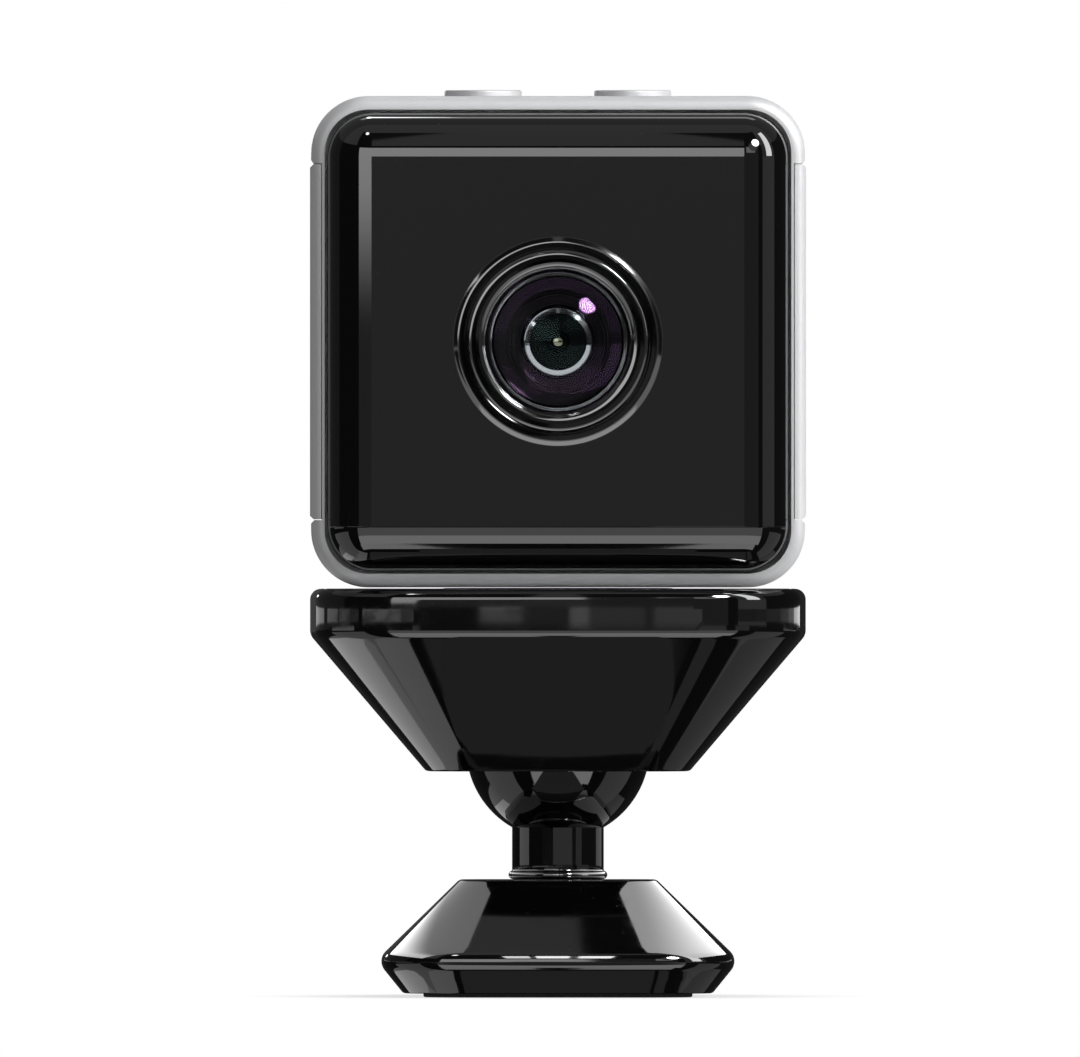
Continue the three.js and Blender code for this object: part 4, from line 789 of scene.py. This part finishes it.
def make_housing():
    shell = envelope("housing_shell", 0)
    ledge_front = RIM_Y + REBATE_DEPTH
    cutters = [
        sleeve("inside", HOUSING_WALL, ledge_front + LEDGE_THICKNESS, COVER_Y - LEDGE_THICKNESS),
        sleeve("through", RIM_WIDTH + LEDGE, FRONT_Y, REAR_Y + OVERRUN),
        sleeve("front rebate", RIM_WIDTH, FRONT_Y, ledge_front),
        sleeve("rear rebate", RIM_WIDTH, COVER_Y, REAR_Y + OVERRUN),
    ]
    pocket_x = HALF_X - PANEL_THICKNESS - GAP
    chamfer_x = HALF_X - GROOVE_CHAMFER
    flare = PANEL_HALF_HEIGHT + OVERRUN + GROOVE_CHAMFER
    for side in (1, -1):
        cutters.append(side_prism("panel pocket", side, [
            (pocket_x, -PANEL_HALF_HEIGHT), (chamfer_x, -PANEL_HALF_HEIGHT), (HALF_X + OVERRUN, -flare),
            (HALF_X + OVERRUN, flare), (chamfer_x, PANEL_HALF_HEIGHT), (pocket_x, PANEL_HALF_HEIGHT)]))
    top, hole = house_high.z, BUTTON_RADIUS + 0.1
    for key in ("power_button", "reset_button"):
        cutters.append(turned("key hole", [
            (0, top - HOUSING_WALL - OVERRUN), (hole, top - HOUSING_WALL - OVERRUN), (hole, top - 0.1),
            (hole + 0.2, top + 0.1), (0, top + 0.1)], centre=middle(key, X, Y)))
    carve(shell, cutters)
    finished(shell, silver, "camera", "housing", slot="silver_metal")


def make_side_panel(name, node, side):
    in_x, out_x = HALF_X - PANEL_THICKNESS, HALF_X + PANEL_PROUD
    top = PANEL_HALF_HEIGHT - GAP
    plate = side_prism(name, side, [
        (in_x, -top), (out_x - GROOVE_CHAMFER, -top), (out_x, GROOVE_CHAMFER - top),
        (out_x, top - GROOVE_CHAMFER), (out_x - GROOVE_CHAMFER, top), (in_x, top)])
    carve(plate, [envelope("panel outside", PANEL_PROUD)], "INTERSECT")
    finished(plate, silver, "camera", node, slot="silver_metal")


def dished_front(name, inset, end_y, steps):
    """The front panel's rounded outside, or its room where the inset is its wall."""
    high = span("front_panel")[1]
    half, bend = high.x - inset, FRONT_ROUND - inset
    path = [(half - (bend - x), y) for x, y in arc(0, RIM_Y, bend, -90, 0, steps)]
    return inset_loft(name, path + [(half, end_y)], half, high.z - CENTRE_Z - inset, bend)


def make_front_panel():
    back_y = RIM_Y + REBATE_DEPTH - GAP
    cap = dished_front("front_panel_cap", 0, back_y, 28)
    start, end = FRONT_Y - OVERRUN, FRONT_Y + FRONT_WALL + OVERRUN
    hole = rod("lens hole", BEZEL_RADIUS + GAP, start, end, "Y", LENS_AXIS, 128)
    carve(cap, [dished_front("cap room", FRONT_WALL, back_y + OVERRUN, 8), hole])
    finished(cap, panel_black, "camera", "front_panel", slot="panel_black")


# ---- Lens ----

CREST_Y = span("lens_bezel")[0].y
LIP_Y = FRONT_Y + FRONT_WALL - GAP
GLASS_BACK_Y = span("lens_barrel")[0].y + 0.1 + FRONT_LENS_EDGE
FRONT_LENS_RADIUS = GLASS_RADIUS + 0.17
RING_Y = GLASS_BACK_Y + RING_SETBACK
RING_BACK_Y = RING_Y + RING_THICKNESS


def crest(radius, rise, lean_from, lean_to, width):
    """The polished top of a crest. It leans outwards between two angles, or inwards if they are negative."""
    sweep = width / (math.sin(math.radians(lean_to)) - math.sin(math.radians(lean_from)))
    lean = math.radians((lean_from + lean_to) / 2)
    centre_y = CREST_Y + rise + sweep * math.cos(lean)
    return arc(radius - sweep * math.sin(lean), centre_y, sweep, lean_from - 90, lean_to - 90, 8)


def make_lens_bezel():
    high = span("lens_bezel")[1]
    flange_y = FRONT_Y + FRONT_WALL + GAP
    outline = [(GLASS_RADIUS, LIP_Y + 0.3), (GLASS_RADIUS, LIP_Y)]
    outline += crest(INNER_CREST, 0.08, -26, -2, 0.26) + [((INNER_CREST + MIDDLE_CREST) / 2, CREST_Y + 0.55)]
    outline += crest(MIDDLE_CREST, 0.04, 0, 24, 0.16) + [((MIDDLE_CREST + OUTER_CREST) / 2, CREST_Y + 0.66)]
    outline += crest(OUTER_CREST, 0.02, 0, 24, 0.14)
    outline += [(BEZEL_RADIUS, FRONT_Y), (BEZEL_RADIUS, flange_y), (high.x, flange_y), (high.x, high.y),
                (BEZEL_BORE, high.y), (BEZEL_BORE, LIP_Y + 0.3)]
    bezel = turned("lens_bezel_ring", outline, "Y", LENS_AXIS, 256)
    finished(bezel, bezel_black, "camera", "lens_bezel", slot="gloss_black", sharp=50)


def make_lens_barrel():
    low, high = span("lens_barrel")
    bore, seat, step_y = SECOND_RADIUS + GAP, FRONT_LENS_RADIUS + GAP, GLASS_BACK_Y + GAP
    start = Vector((INNER_RING_RADIUS + INNER_RING_CHAMFER, RING_Y))
    end = Vector((GLASS_RADIUS - 0.25, step_y))
    outline = [(high.x, low.y), (high.x, high.y), (bore, high.y), (bore, RING_BACK_Y),
               (INNER_RING_RADIUS, RING_BACK_Y), (INNER_RING_RADIUS, RING_Y + 0.1),
               (INNER_RING_RADIUS + INNER_RING_CHAMFER, RING_Y)]
    for i in range(BARREL_GROOVES):
        near, far = start.lerp(end, i / BARREL_GROOVES), start.lerp(end, (i + 1) / BARREL_GROOVES)
        outline += [(near.x + 0.01, near.y), (far.x, near.y - 0.03), (far.x, far.y)]
    outline += [(seat, step_y), (seat, low.y)]
    barrel = turned("lens_barrel_tube", outline, "Y", LENS_AXIS, 128)
    finished(barrel, barrel_black, "camera", "lens_barrel", slot="matt_black", sharp=25)


def glass_piece(name, node, profile, material, segments):
    piece = turned(name, profile, "Y", LENS_AXIS, segments)
    finished(piece, material, "camera", node, slot="lens_glass", sharp=35)


def make_front_lens():
    front_y, sphere = span("front_lens")[0].y, FRONT_LENS_SPHERE
    front = math.degrees(math.asin(FRONT_LENS_RADIUS / sphere))
    hollow = FRONT_LENS_RADIUS * FRONT_LENS_HOLLOW
    back_centre = GLASS_BACK_Y + math.sqrt(FRONT_LENS_BACK_SPHERE ** 2 - hollow ** 2)
    back = math.degrees(math.asin(hollow / FRONT_LENS_BACK_SPHERE))
    profile = arc(0, front_y + sphere, sphere, -90, front - 90, 40) + [(FRONT_LENS_RADIUS, GLASS_BACK_Y)]
    profile += arc(0, back_centre, FRONT_LENS_BACK_SPHERE, back - 90, -90, 28)
    glass_piece("front_lens_glass", "front_lens", profile, front_glass, 128)


def domed(name, node, radius, sphere, material):
    """A lens that is domed in front and flat at the back."""
    low, high = span(node)
    cap = math.degrees(math.asin(radius / sphere))
    profile = arc(0, low.y + sphere, sphere, -90, cap - 90, 28) + [(radius, high.y), (0, high.y)]
    glass_piece(name, node, profile, material, 96)


def make_lens_ring():
    """The polished ring round the second lens: its face leans outwards, and its flank drops to the barrel."""
    crest_y, foot_y = RING_Y - RING_HEIGHT, RING_Y - 0.02
    profile = [(RING_HOLE, foot_y), (RING_HOLE, crest_y), (RING_CREST, crest_y + RING_LEAN),
               (RING_OUTSIDE, RING_Y - 0.06), (RING_OUTSIDE, foot_y)]
    ring = turned("lens_ring", profile, "Y", LENS_AXIS, 160)
    finished(ring, ring_metal, "camera", slot="bright_steel", sharp=12)


# ---- Keys on the top ----

def make_button(node):
    low, high = span(node)
    roof = house_high.z - HOUSING_WALL - GAP
    flange, flange_z = BUTTON_RADIUS + BUTTON_FLANGE, roof - BUTTON_FLANGE_THICKNESS
    dish = BUTTON_RADIUS - 0.3
    profile = [(0, low.z), (BUTTON_STEM, low.z), (BUTTON_STEM, flange_z), (flange, flange_z), (flange, roof),
               (BUTTON_RADIUS, roof)]
    profile += arc(BUTTON_RADIUS - BUTTON_ROUND, high.z - BUTTON_ROUND, BUTTON_ROUND, 0, 90, 8)
    profile += [(r, high.z - BUTTON_DISH * (1 - (r / dish) ** 2)) for r in (dish, 1.9, 1.5, 1.0, 0.5, 0)]
    key = turned(node + "_cap", profile, centre=middle(node, X, Y), segments=128)
    finished(key, button_metal, node, node, slot="button_silver", sharp=30)


# ---- Rear cover ----

def pill(name, half_x, half_z, corner, centre):
    """A cutter for a rounded slot right through the rear cover."""
    outline = [(x + centre[0], z + centre[1]) for x, z in square_ring(half_x, half_z, corner, steps=12)]
    return prism(name, outline, COVER_Y - OVERRUN, REAR_Y + OVERRUN)


def make_rear_cover():
    inset = RIM_WIDTH + GAP
    half_x, half_z, corner = HALF_X - inset, HALF_Z - inset, HOUSING_CORNER - inset
    path = rounded_path([(half_x, COVER_Y + GAP, 0), (half_x, REAR_Y, COVER_ROUND), (half_x - 1, REAR_Y, 0)], 8)
    plate = inset_loft("rear_cover_plate", path, half_x, half_z, corner)
    usb_half_x, usb_half_z = half_size("usb_port", X, Z)
    card_half_x, card_half_z = half_size("memory_card_slot", X, Z)
    card_x, card_z = middle("memory_card_slot", X, Z)
    start, end = COVER_Y - OVERRUN, REAR_Y + OVERRUN
    cutters = [
        pill("usb mouth", usb_half_x + 0.1, usb_half_z + 0.1, usb_half_z, middle("usb_port", X, Z)),
        pill("card mouth", card_half_x - 0.5, card_half_z * 0.8, card_half_z * 0.4, (card_x, card_z)),
        rod("finger notch", NOTCH_RADIUS, card_z - NOTCH_HALF_HEIGHT, card_z + NOTCH_HALF_HEIGHT, "Z",
            (card_x, REAR_Y + NOTCH_SETBACK), 96),
        rod("sound hole", SOUND_HOLE_RADIUS, start, end, "Y", middle("microphone", X, Z), 32),
        rod("light hole", LIGHT_RADIUS + GAP, start, end, "Y", middle("status_light", X, Z), 48),
    ]
    floor_y = REAR_Y - SCREW_SEAT_DEPTH
    seat = [(0, start), (SCREW_HOLE_RADIUS, start), (SCREW_HOLE_RADIUS, floor_y), (SCREW_SEAT_RADIUS, floor_y),
            (SCREW_SEAT_RADIUS, REAR_Y - 0.12), (SCREW_SEAT_RADIUS + 0.25, REAR_Y + 0.13), (0, REAR_Y + 0.13)]
    for screw in numbered("rear_screw", 4):
        cutters.append(turned("screw seat", seat, "Y", middle(screw, X, Z), 48))
    carve(plate, cutters)
    finished(plate, matt_black, "camera", "rear_cover", slot="matt_black")


def make_status_light():
    low, high = span("status_light")
    outer, dome_y = half_size("status_light", X)[0], high.y - LIGHT_DOME
    profile = [(0, low.y), (outer, low.y), (outer, low.y + 0.5), (LIGHT_RADIUS, low.y + 0.5),
               (LIGHT_RADIUS, dome_y)]
    profile += [(LIGHT_RADIUS * math.cos(a), dome_y + LIGHT_DOME * math.sin(a))
                for a in (math.radians(15 * i) for i in range(1, 6))]
    lamp_piece = turned("status_light_window", profile + [(0, high.y)], "Y", middle("status_light", X, Z), 48)
    finished(lamp_piece, led_clear, "camera", "status_light", slot="clear_plastic")


# ---- Things that repeat, grown with Geometry Nodes ----

def geometry_group(name, *inputs):
    """An empty geometry group that takes and gives a shape, and takes a material besides its own inputs."""
    ends = ("Geometry", "Geometry", None), ("Material", "Material", None)
    return node_group(name, "GeometryNodeTree", [ends[0], *inputs, ends[1]], [("Geometry", "Geometry")])


def hand_out(net, shape, given, put):
    """Turns copies into real mesh with the given material, which is the group's result."""
    real = net.in_order("GeometryNodeRealizeInstances", [shape])[0]
    net.wire(put, Geometry=net.add("GeometryNodeSetMaterial", Geometry=real, Material=given["Material"])[0])
    return net.tree


def grow(host, tree, **settings):
    """Runs a geometry group on the host and leaves its result as plain mesh."""
    modifier = host.modifiers.new(tree.name, "NODES")
    modifier.node_group = tree
    for item in tree.interface.items_tree:
        label = item.name.replace(" ", "_")
        if item.in_out == "INPUT" and label in settings:
            modifier[item.identifier] = settings[label]
    settled(host)


def screw_pattern():
    """Sets a copy of one screw on every point of the pattern, each turned by its own amount."""
    net, given, put = geometry_group("screw pattern", ("Screw", "Object", None), ("Seed", "Int", 7))
    turn = net.in_order("FunctionNodeRandomValue", (0.0, math.pi / 2, given["Seed"]), (2, 3, "Seed"),
                        data_type="FLOAT")[1]
    copies = net.add("GeometryNodeInstanceOnPoints",
                     Points=net.add("GeometryNodeMeshToPoints", Mesh=given["Geometry"])["Points"],
                     Instance=net.add("GeometryNodeObjectInfo", Object=given["Screw"])["Geometry"],
                     Rotation=net.add("ShaderNodeCombineXYZ", Y=turn)[0])[0]
    return hand_out(net, copies, given, put)


def make_rear_screws():
    """Four pan heads with crossed recesses, facing back."""
    nodes = numbered("rear_screw", 4)
    low, high = span(nodes[0])
    head_y = high.y - (high.y - low.y - SCREW_SHANK)
    top = high.y - head_y
    profile = [(0, -SCREW_SHANK), (SCREW_SHANK_RADIUS, -2.9), (SCREW_SHANK_RADIUS, 0), (SCREW_HEAD_RADIUS, 0),
               (SCREW_HEAD_RADIUS, top * 0.45)]
    profile += [(SCREW_HEAD_RADIUS - 0.35 * (1 - math.cos(a)), top * 0.45 + top * 0.55 * math.sin(a))
                for a in (math.radians(15 * i) for i in range(1, 7))]
    screw = turned("screw pattern piece", profile + [(0, top)], "Y", (0, 0), 64)
    recess = [from_rings("recess", [[(x * s, y, z * s) for x, z in square_ring(wide, tall, 0.05, steps=4)]
                                    for y, s in ((top - RECESS_DEPTH, 0.6), (top + 0.1, 1.0))])
              for wide, tall in ((RECESS_LENGTH, RECESS_WIDTH), (RECESS_WIDTH, RECESS_LENGTH))]
    carve(screw, recess)
    smooth(screw, 30)
    spots = bpy.data.meshes.new("rear_screws")
    spots.from_pydata([Vector((x, head_y, z)) * METRE for x, z in (middle(n, X, Z) for n in nodes)], [], [])
    screws = new_object("rear_screws", spots)
    grow(screws, screw_pattern(), Screw=screw, Material=steel, Seed=7)
    bpy.data.objects.remove(screw)
    paint(screws, steel)
    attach(screws, "camera")
    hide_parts(*nodes)


def concentric_ribs():
    """Sweeps a small round rib along circles whose radius grows by one pitch at a time."""
    net, given, put = geometry_group("concentric ribs", ("Ribs", "Int", 8), ("Pitch", "Float", 0.0009),
                                     ("Rib Radius", "Float", 0.0001), ("First Radius", "Float", 0.001))
    index = net.add("GeometryNodeInputIndex")[0]
    radius = net.maths("ADD", given["First Radius"], net.times(index, given["Pitch"]))
    copies = net.add("GeometryNodeInstanceOnPoints",
                     Points=net.add("GeometryNodeMeshLine", Count=given["Ribs"], Offset=(0, 0, 0))["Mesh"],
                     Instance=net.add("GeometryNodeCurvePrimitiveCircle", Resolution=96, Radius=1.0)["Curve"],
                     Scale=net.add("ShaderNodeCombineXYZ", X=radius, Y=radius, Z=1.0)[0])[0]
    circles = net.in_order("GeometryNodeRealizeInstances", [copies])[0]
    section = net.add("GeometryNodeCurvePrimitiveCircle", Resolution=8, Radius=given["Rib Radius"])["Curve"]
    sweep = net.add("GeometryNodeCurveToMesh", Curve=circles, Profile_Curve=section)["Mesh"]
    both = net.in_order("GeometryNodeJoinGeometry", (given["Geometry"], sweep), (0, 0))[0]
    return hand_out(net, both, given, put)


def make_grip_pad():
    """A rubber disc whose face carries fine rings, so that the camera doesn't slip on the magnet."""
    low, high = span("grip_pad")
    face = high.z - 0.1
    profile = [(0, low.z), (high.x, low.z), (high.x, face - 0.1), (high.x - 0.1, face), (0, face)]
    disc = turned("grip_pad_skin", profile, segments=128)
    smooth(disc, 40)
    bpy.context.view_layer.update()
    disc.data.transform(Matrix.Translation((0, 0, -face * METRE)))
    grow(disc, concentric_ribs(), Ribs=9, Pitch=0.00082, Rib_Radius=0.0001, First_Radius=0.0008,
         Material=rubber)
    disc.data.transform(Matrix.Translation((0, 0, face * METRE)))
    shade(disc, 40)
    paint(disc, rubber)
    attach(disc, "turntable_pad")
    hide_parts("grip_pad")


# ---- Everything together ----

make_base_shell()
make_base_pad()
make_ball_stem()
make_head_shell()
make_head_cover()
make_grip_pad()
make_housing()
make_side_panel("left_side_plate", "left_side_panel", -1)
make_side_panel("right_side_plate", "right_side_panel", 1)
make_front_panel()
make_lens_bezel()
make_lens_barrel()
make_front_lens()
domed("second_lens_glass", "second_lens", SECOND_RADIUS, SECOND_SPHERE, inner_glass)
domed("rear_lens_glass", "rear_lens", REAR_DOME_RADIUS, REAR_DOME_SPHERE, deep_glass)
make_lens_ring()
make_button("power_button")
make_button("reset_button")
make_rear_cover()
make_status_light()
make_rear_screws()

INNER_FINISHES = {
    cast_steel: ["base_weight"],
    matt_black: ["base_plate", "ball_retainer", "lens_holder", "battery_tray"],
    barrel_black: ["lens_stop"],
    steel: ["stem_screw", "stem_washer", "steel_disc", "radio_module", "usb_port", "memory_card_slot",
            "microphone", *numbered("retainer_screw", 4), *numbered("sensor_screw", 2)],
    cup_plastic: ["pressure_cup"],
    flex: ["antenna"],
    nickel: ["head_magnet"],
    inner_glass: ["infrared_filter"],
    chip_black: ["processor", "image_sensor", "light_sensor", "power_switch", "reset_switch"],
    board_green: ["sensor_board", "infrared_board", "main_board", "switch_board"],
    foil: ["battery"],
    led_clear: numbered("infrared_led", 4),
}
for finish, names in INNER_FINISHES.items():
    for name in names:
        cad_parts[name].material_slots[0].material = finish


# ---- Studio ----
# White is 1. Levels of lamps and cards are told in the same unit. Angles are in degrees.

MIDDLE = Vector((0, 0, 0.04))
LAMP_DISTANCE = 0.6
CARD_STEP = 5
FLOOR_REACH = 4000


def white_where_seen(net, lit):
    """A strength that is white to the eye, in mirrors and through glass, and lights matt surfaces by less."""
    path = net.add("ShaderNodeLightPath")
    mirrored = net.maths("MAXIMUM", path["Is Glossy Ray"], path["Is Transmission Ray"])
    return net.mix(net.maths("MAXIMUM", path["Is Camera Ray"], mirrored), lit, 1.0)


def make_world():
    world = bpy.data.worlds.new("studio")
    world.use_nodes = True
    net = Nodes(world.node_tree)
    net.wire(net.tree.nodes["Background"].inputs, Color=grey(1.0), Strength=white_where_seen(net, 0.12))
    bpy.context.scene.world = world


def bare_material(name):
    """A material with nothing but its output, and that output's socket."""
    material = bpy.data.materials.new(name)
    material.use_nodes = True
    net = Nodes(material.node_tree)
    net.tree.nodes.clear()
    return material, net, net.tree.nodes.new("ShaderNodeOutputMaterial").inputs["Surface"]


def flat_mesh(name, outline, height):
    """One level face, with its outline told counterclockwise in millimetres."""
    data = bpy.data.meshes.new(name)
    verts = [(x * METRE, y * METRE, height * METRE) for x, y in outline]
    data.from_pydata(verts, [], [tuple(range(len(verts)))])
    return data


def rectangle(xs, ys):
    return [(xs[0], ys[0]), (xs[1], ys[0]), (xs[1], ys[1]), (xs[0], ys[1])]


def make_floor():
    """A white sweep: it takes the object's shadow near the foot and melts into the background further out."""
    reach = (-FLOOR_REACH, FLOOR_REACH)
    floor = new_object("floor", flat_mesh("floor", rectangle(reach, reach), 0))
    material, net, surface = bare_material("white_sweep")
    paper = net.add("ShaderNodeBsdfDiffuse", Color=grey(0.96))[0]
    glow = net.add("ShaderNodeEmission", Color=grey(1.0), Strength=white_where_seen(net, 0.25))[0]
    away = net.ramp(net.vectors("LENGTH", net.place()), 0.011, 0.022, 0.7, 1.0)
    net.plug(surface, net.mix_shader(away, paper, glow))
    floor.data.materials.append(material)
    floor.visible_glossy = False


def direction(azimuth, elevation):
    """Unit direction from the object: azimuth 0 is towards the lens side and grows towards the right."""
    a, e = math.radians(azimuth), math.radians(elevation)
    return Vector((math.sin(a) * math.cos(e), -math.cos(a) * math.cos(e), math.sin(e)))


def lamp(name, azimuth, elevation, size, level):
    """A soft lamp. A white surface that faces it shows that level. Mirrors see the cards instead."""
    light = bpy.data.lights.new(name, "AREA")
    light.shape = "SQUARE"
    light.size = size
    light.energy = level * (math.pi * LAMP_DISTANCE) ** 2
    holder = new_object(name, light)
    holder.location = MIDDLE + direction(azimuth, elevation) * LAMP_DISTANCE
    holder.rotation_euler = (MIDDLE - holder.location).to_track_quat("-Z", "Y").to_euler()
    holder.visible_camera = False
    holder.visible_glossy = False


def card(name, data, level, fade=None, around=None, from_below=False):
    """A glowing card that only mirrors and lenses see.
    fade = (axis, dark place, bright place, dark level) and around = (centre, bright radius, clear radius),
    with lengths in metres; from_below leaves it clear for whatever looks down on it."""
    material, net, surface = bare_material(name)
    strength = level
    if fade:
        strength = net.ramp(net.place_parts()[fade[0]], fade[1], fade[2], fade[3], level)
    glow = net.add("ShaderNodeEmission", Color=grey(1.0), Strength=strength)[0]
    shown = None
    if around:
        shown = net.ramp(net.vectors("DISTANCE", net.place(), around[0]), around[1], around[2], 1.0, 0.0)
    if from_below:
        shown = net.add("ShaderNodeNewGeometry")["Backfacing"]
    if shown:
        glow = net.mix_shader(shown, net.add("ShaderNodeBsdfTransparent")[0], glow)
    net.plug(surface, glow)
    data.materials.append(material)
    panel = new_object(name, data)
    for ray in ("camera", "diffuse", "volume_scatter", "shadow"):
        setattr(panel, "visible_" + ray, False)


def tent_card(name, azimuths, elevations, level, radius=0.5, **looks):
    """A card curved about the object, between two azimuths and two elevations."""
    across, up = (max(1, int(abs(last - first) / CARD_STEP)) for first, last in (azimuths, elevations))
    verts = []
    for k in range(up + 1):
        for i in range(across + 1):
            azimuth = azimuths[0] + (azimuths[1] - azimuths[0]) * i / across
            elevation = elevations[0] + (elevations[1] - elevations[0]) * k / up
            verts.append(MIDDLE + direction(azimuth, elevation) * radius)
    row = across + 1
    faces = [(k * row + i, k * row + i + 1, (k + 1) * row + i + 1, (k + 1) * row + i)
             for k in range(up) for i in range(across)]
    data = bpy.data.meshes.new(name)
    data.from_pydata(verts, [], faces)
    card(name, data, level, **looks)


def spot_card(name, azimuth, elevation, spread, level, radius=0.47):
    """A round softbox with a soft border. The spread is its half width."""
    centre = MIDDLE + direction(azimuth, elevation) * radius
    reach = radius * math.radians(spread)
    wide, tall = 1.6 * spread, 1.2 * spread
    tent_card(name, (azimuth - wide, azimuth + wide), (elevation - tall, elevation + tall), level, radius,
              around=(centre, reach * 0.55, reach))


def level_card(name, outline, height, level, **looks):
    card(name, flat_mesh(name, outline, height), level, **looks)


make_world()
make_floor()
lamp("top_softbox", 0, 80, 0.35, 0.36)
lamp("right_softbox", 72, 12, 0.3, 0.84)

# Elevations that several cards share
EYE_LEVEL = (-2.9, 29)
STEM_LEVEL = (-4.5, -3)
BAND_LEVEL = (-2.36, -1.65)
BALL_LEVEL = (-62, -12)
UNDER_LEVEL = (-60, -45)

# In front of the lens: the large softbox, the dark window that the flat face mirrors, and the low cards
tent_card("key_softbox", (-34.5, 2.1), (-1.44, 24), 2.1, fade=("Z", 0.045, 0.0577, 0.12))
tent_card("front_window", (-2.9, 2.4), (-1.52, 2.9), 0.17, radius=0.46)
tent_card("front_right", (2.1, 38), EYE_LEVEL, 0.1)
tent_card("low_front", (-38, 49), (-24, -4.6), 0.6)
tent_card("lowest_front", (-38, 49), (-45, -24), 1.4)
tent_card("under_left", (-40, -1.8), UNDER_LEVEL, 1.3)
tent_card("under_right", (1.8, 40), UNDER_LEVEL, 1.3)
tent_card("upper_right", (8, 30), (12, 26), 1.1, radius=0.48)
tent_card("dark_above_left", (-44, -2.2), (25, 64), 0.02, radius=0.485)
tent_card("dark_above_right", (2.2, 44), (27, 64), 0.02, radius=0.485)
tent_card("stem_front", (-12, 36), STEM_LEVEL, 0.24)
tent_card("stem_left", (-112, -78), STEM_LEVEL, 0.6)
tent_card("stem_right", (46, 62), STEM_LEVEL, 0.2)
tent_card("stem_back", (112, 142), STEM_LEVEL, 0.45)
tent_card("ball_left", (-115, -65), BALL_LEVEL, 0.42)
tent_card("ball_right", (70, 115), BALL_LEVEL, 0.3)

# What the upright band round the head mirrors, from left to right: (first azimuth, last azimuth, level)
BAND_CARDS = [(-160, -130, 0.75), (-122, -102, 0.6), (-100, -84, 0.45), (-84, -72, 0.2), (-67, -24, 0.75),
              (-24, -11, 0.36), (-2.7, 0.5, 0.12), (0.9, 2.4, 0.7), (2.6, 6.6, 0.26), (7.3, 10.8, 0.38),
              (49, 70, 0.05), (70, 84, 0.07), (84, 106, 0.14), (106, 122, 0.25), (122, 136, 0.45),
              (136, 160, 1.6)]
for start, end, level in BAND_CARDS:
    tent_card("band_card", (start, end), BAND_LEVEL, level, radius=0.45)
tent_card("band_glint", (-5.9, -2.7), (-2.08, -1.65), 0.85, radius=0.45)

# To the right
tent_card("right_gap", (38, 49), EYE_LEVEL, 0.02)
tent_card("right_panel", (49, 84), (-2.9, 3), 0.24)
tent_card("right_panel_up", (49, 84), (3, 29), 0.17)
tent_card("right_strip", (60, 76), (4, 55), 6.5, radius=0.48)
spot_card("small_softbox", 35, 35.5, 9, 140.0)
spot_card("softbox_halo", 26, 26, 13, 0.4, radius=0.475)

# Dark surroundings with a few openings
tent_card("left_dark", (-92, -37), EYE_LEVEL, 0.02)
tent_card("back_left", (-180, -92), EYE_LEVEL, 0.06)
tent_card("back_right", (84, 180), EYE_LEVEL, 0.02)
tent_card("roof_front", (-90, 90), (29, 90), 0.25)
tent_card("roof_back", (90, 270), (29, 90), 0.15)
tent_card("surround", (-180, 180), (-28, 90), 0.02, radius=0.6)
tent_card("roof_line", (150, 210), (55, 63), 1.2, radius=0.48)
spot_card("top_spot", -23, 61, 4.5, 14.0)
spot_card("roof_glint", -171, 58, 4.5, 14.0)
spot_card("back_spot", -158, 6, 3, 12.0)

# Below: what the slopes of the head mirror, as (name, xs, ys, height, level)
for name, xs, ys, height, level in [
        ("below_all", (-2500, 2500), (-2500, 2500), -480, 0.015),
        ("below_front", (-48, 44), (-190, 20), -460, 0.13),
        ("below_back_left", (-900, -515), (250, 1200), -460, 0.45),
        ("below_left_near", (-300, -95), (-150, 300), -460, 0.65),
        ("below_left", (-510, -300), (-150, 900), -460, 1.2),
        ("below_right_near", (66, 140), (-190, 60), -460, 0.14),
        ("below_right", (240, 620), (-60, 700), -460, 0.2)]:
    level_card(name, rectangle(xs, ys), height, level)

# Just under the head: what the slopes of the foot mirror
level_card("foot_glow_left", [(-26, -17), (-7, -12), (-4.6, -7), (-9, 2), (-9, 24), (-26, 24)], 14.2, 4.5,
           fade=("X", -0.013, -0.019, 1.2), from_below=True)
level_card("foot_glow_right", [(26, -17), (26, 24), (9, 24), (9, 2), (4.2, -7), (6.6, -12)], 14.2, 5.0,
           fade=("X", 0.005, 0.016, 2.6), from_below=True)
level_card("ball_shade", rectangle((-9, 9), (-31, -11.6)), 2, 0.12)

# Three panes that light the front edge of the foot
for start, end, level in [(-4.2, -2.2, 7.0), (-1.7, 0.9, 10.0), (1.6, 4.3, 10.0)]:
    level_card("foot_pane", rectangle((start, end), (-27, -19)), 14, level, from_below=True)

CAMERA_DISTANCE = 3.2
FRAME_WIDTH = 0.06966
CAMERA_X, CAMERA_Z = -1.16, 30.3
FOCUS_Y = -0.013  # where the frame is as wide as told, in metres
SENSOR_WIDTH = 36.0
camera_data = bpy.data.cameras.new("camera")
camera_object = new_object("camera", camera_data)
camera_data.sensor_fit = "HORIZONTAL"
camera_data.sensor_width = SENSOR_WIDTH
camera_data.lens = SENSOR_WIDTH * CAMERA_DISTANCE / FRAME_WIDTH
camera_data.clip_start = 0.05
camera_data.clip_end = 20.0
camera_object.location = (CAMERA_X * METRE, FOCUS_Y - CAMERA_DISTANCE, CAMERA_Z * METRE)
camera_object.rotation_euler = (math.pi / 2, 0, 0)
bpy.context.scene.camera = camera_object
bpy.context.scene.view_settings.view_transform = "Standard"
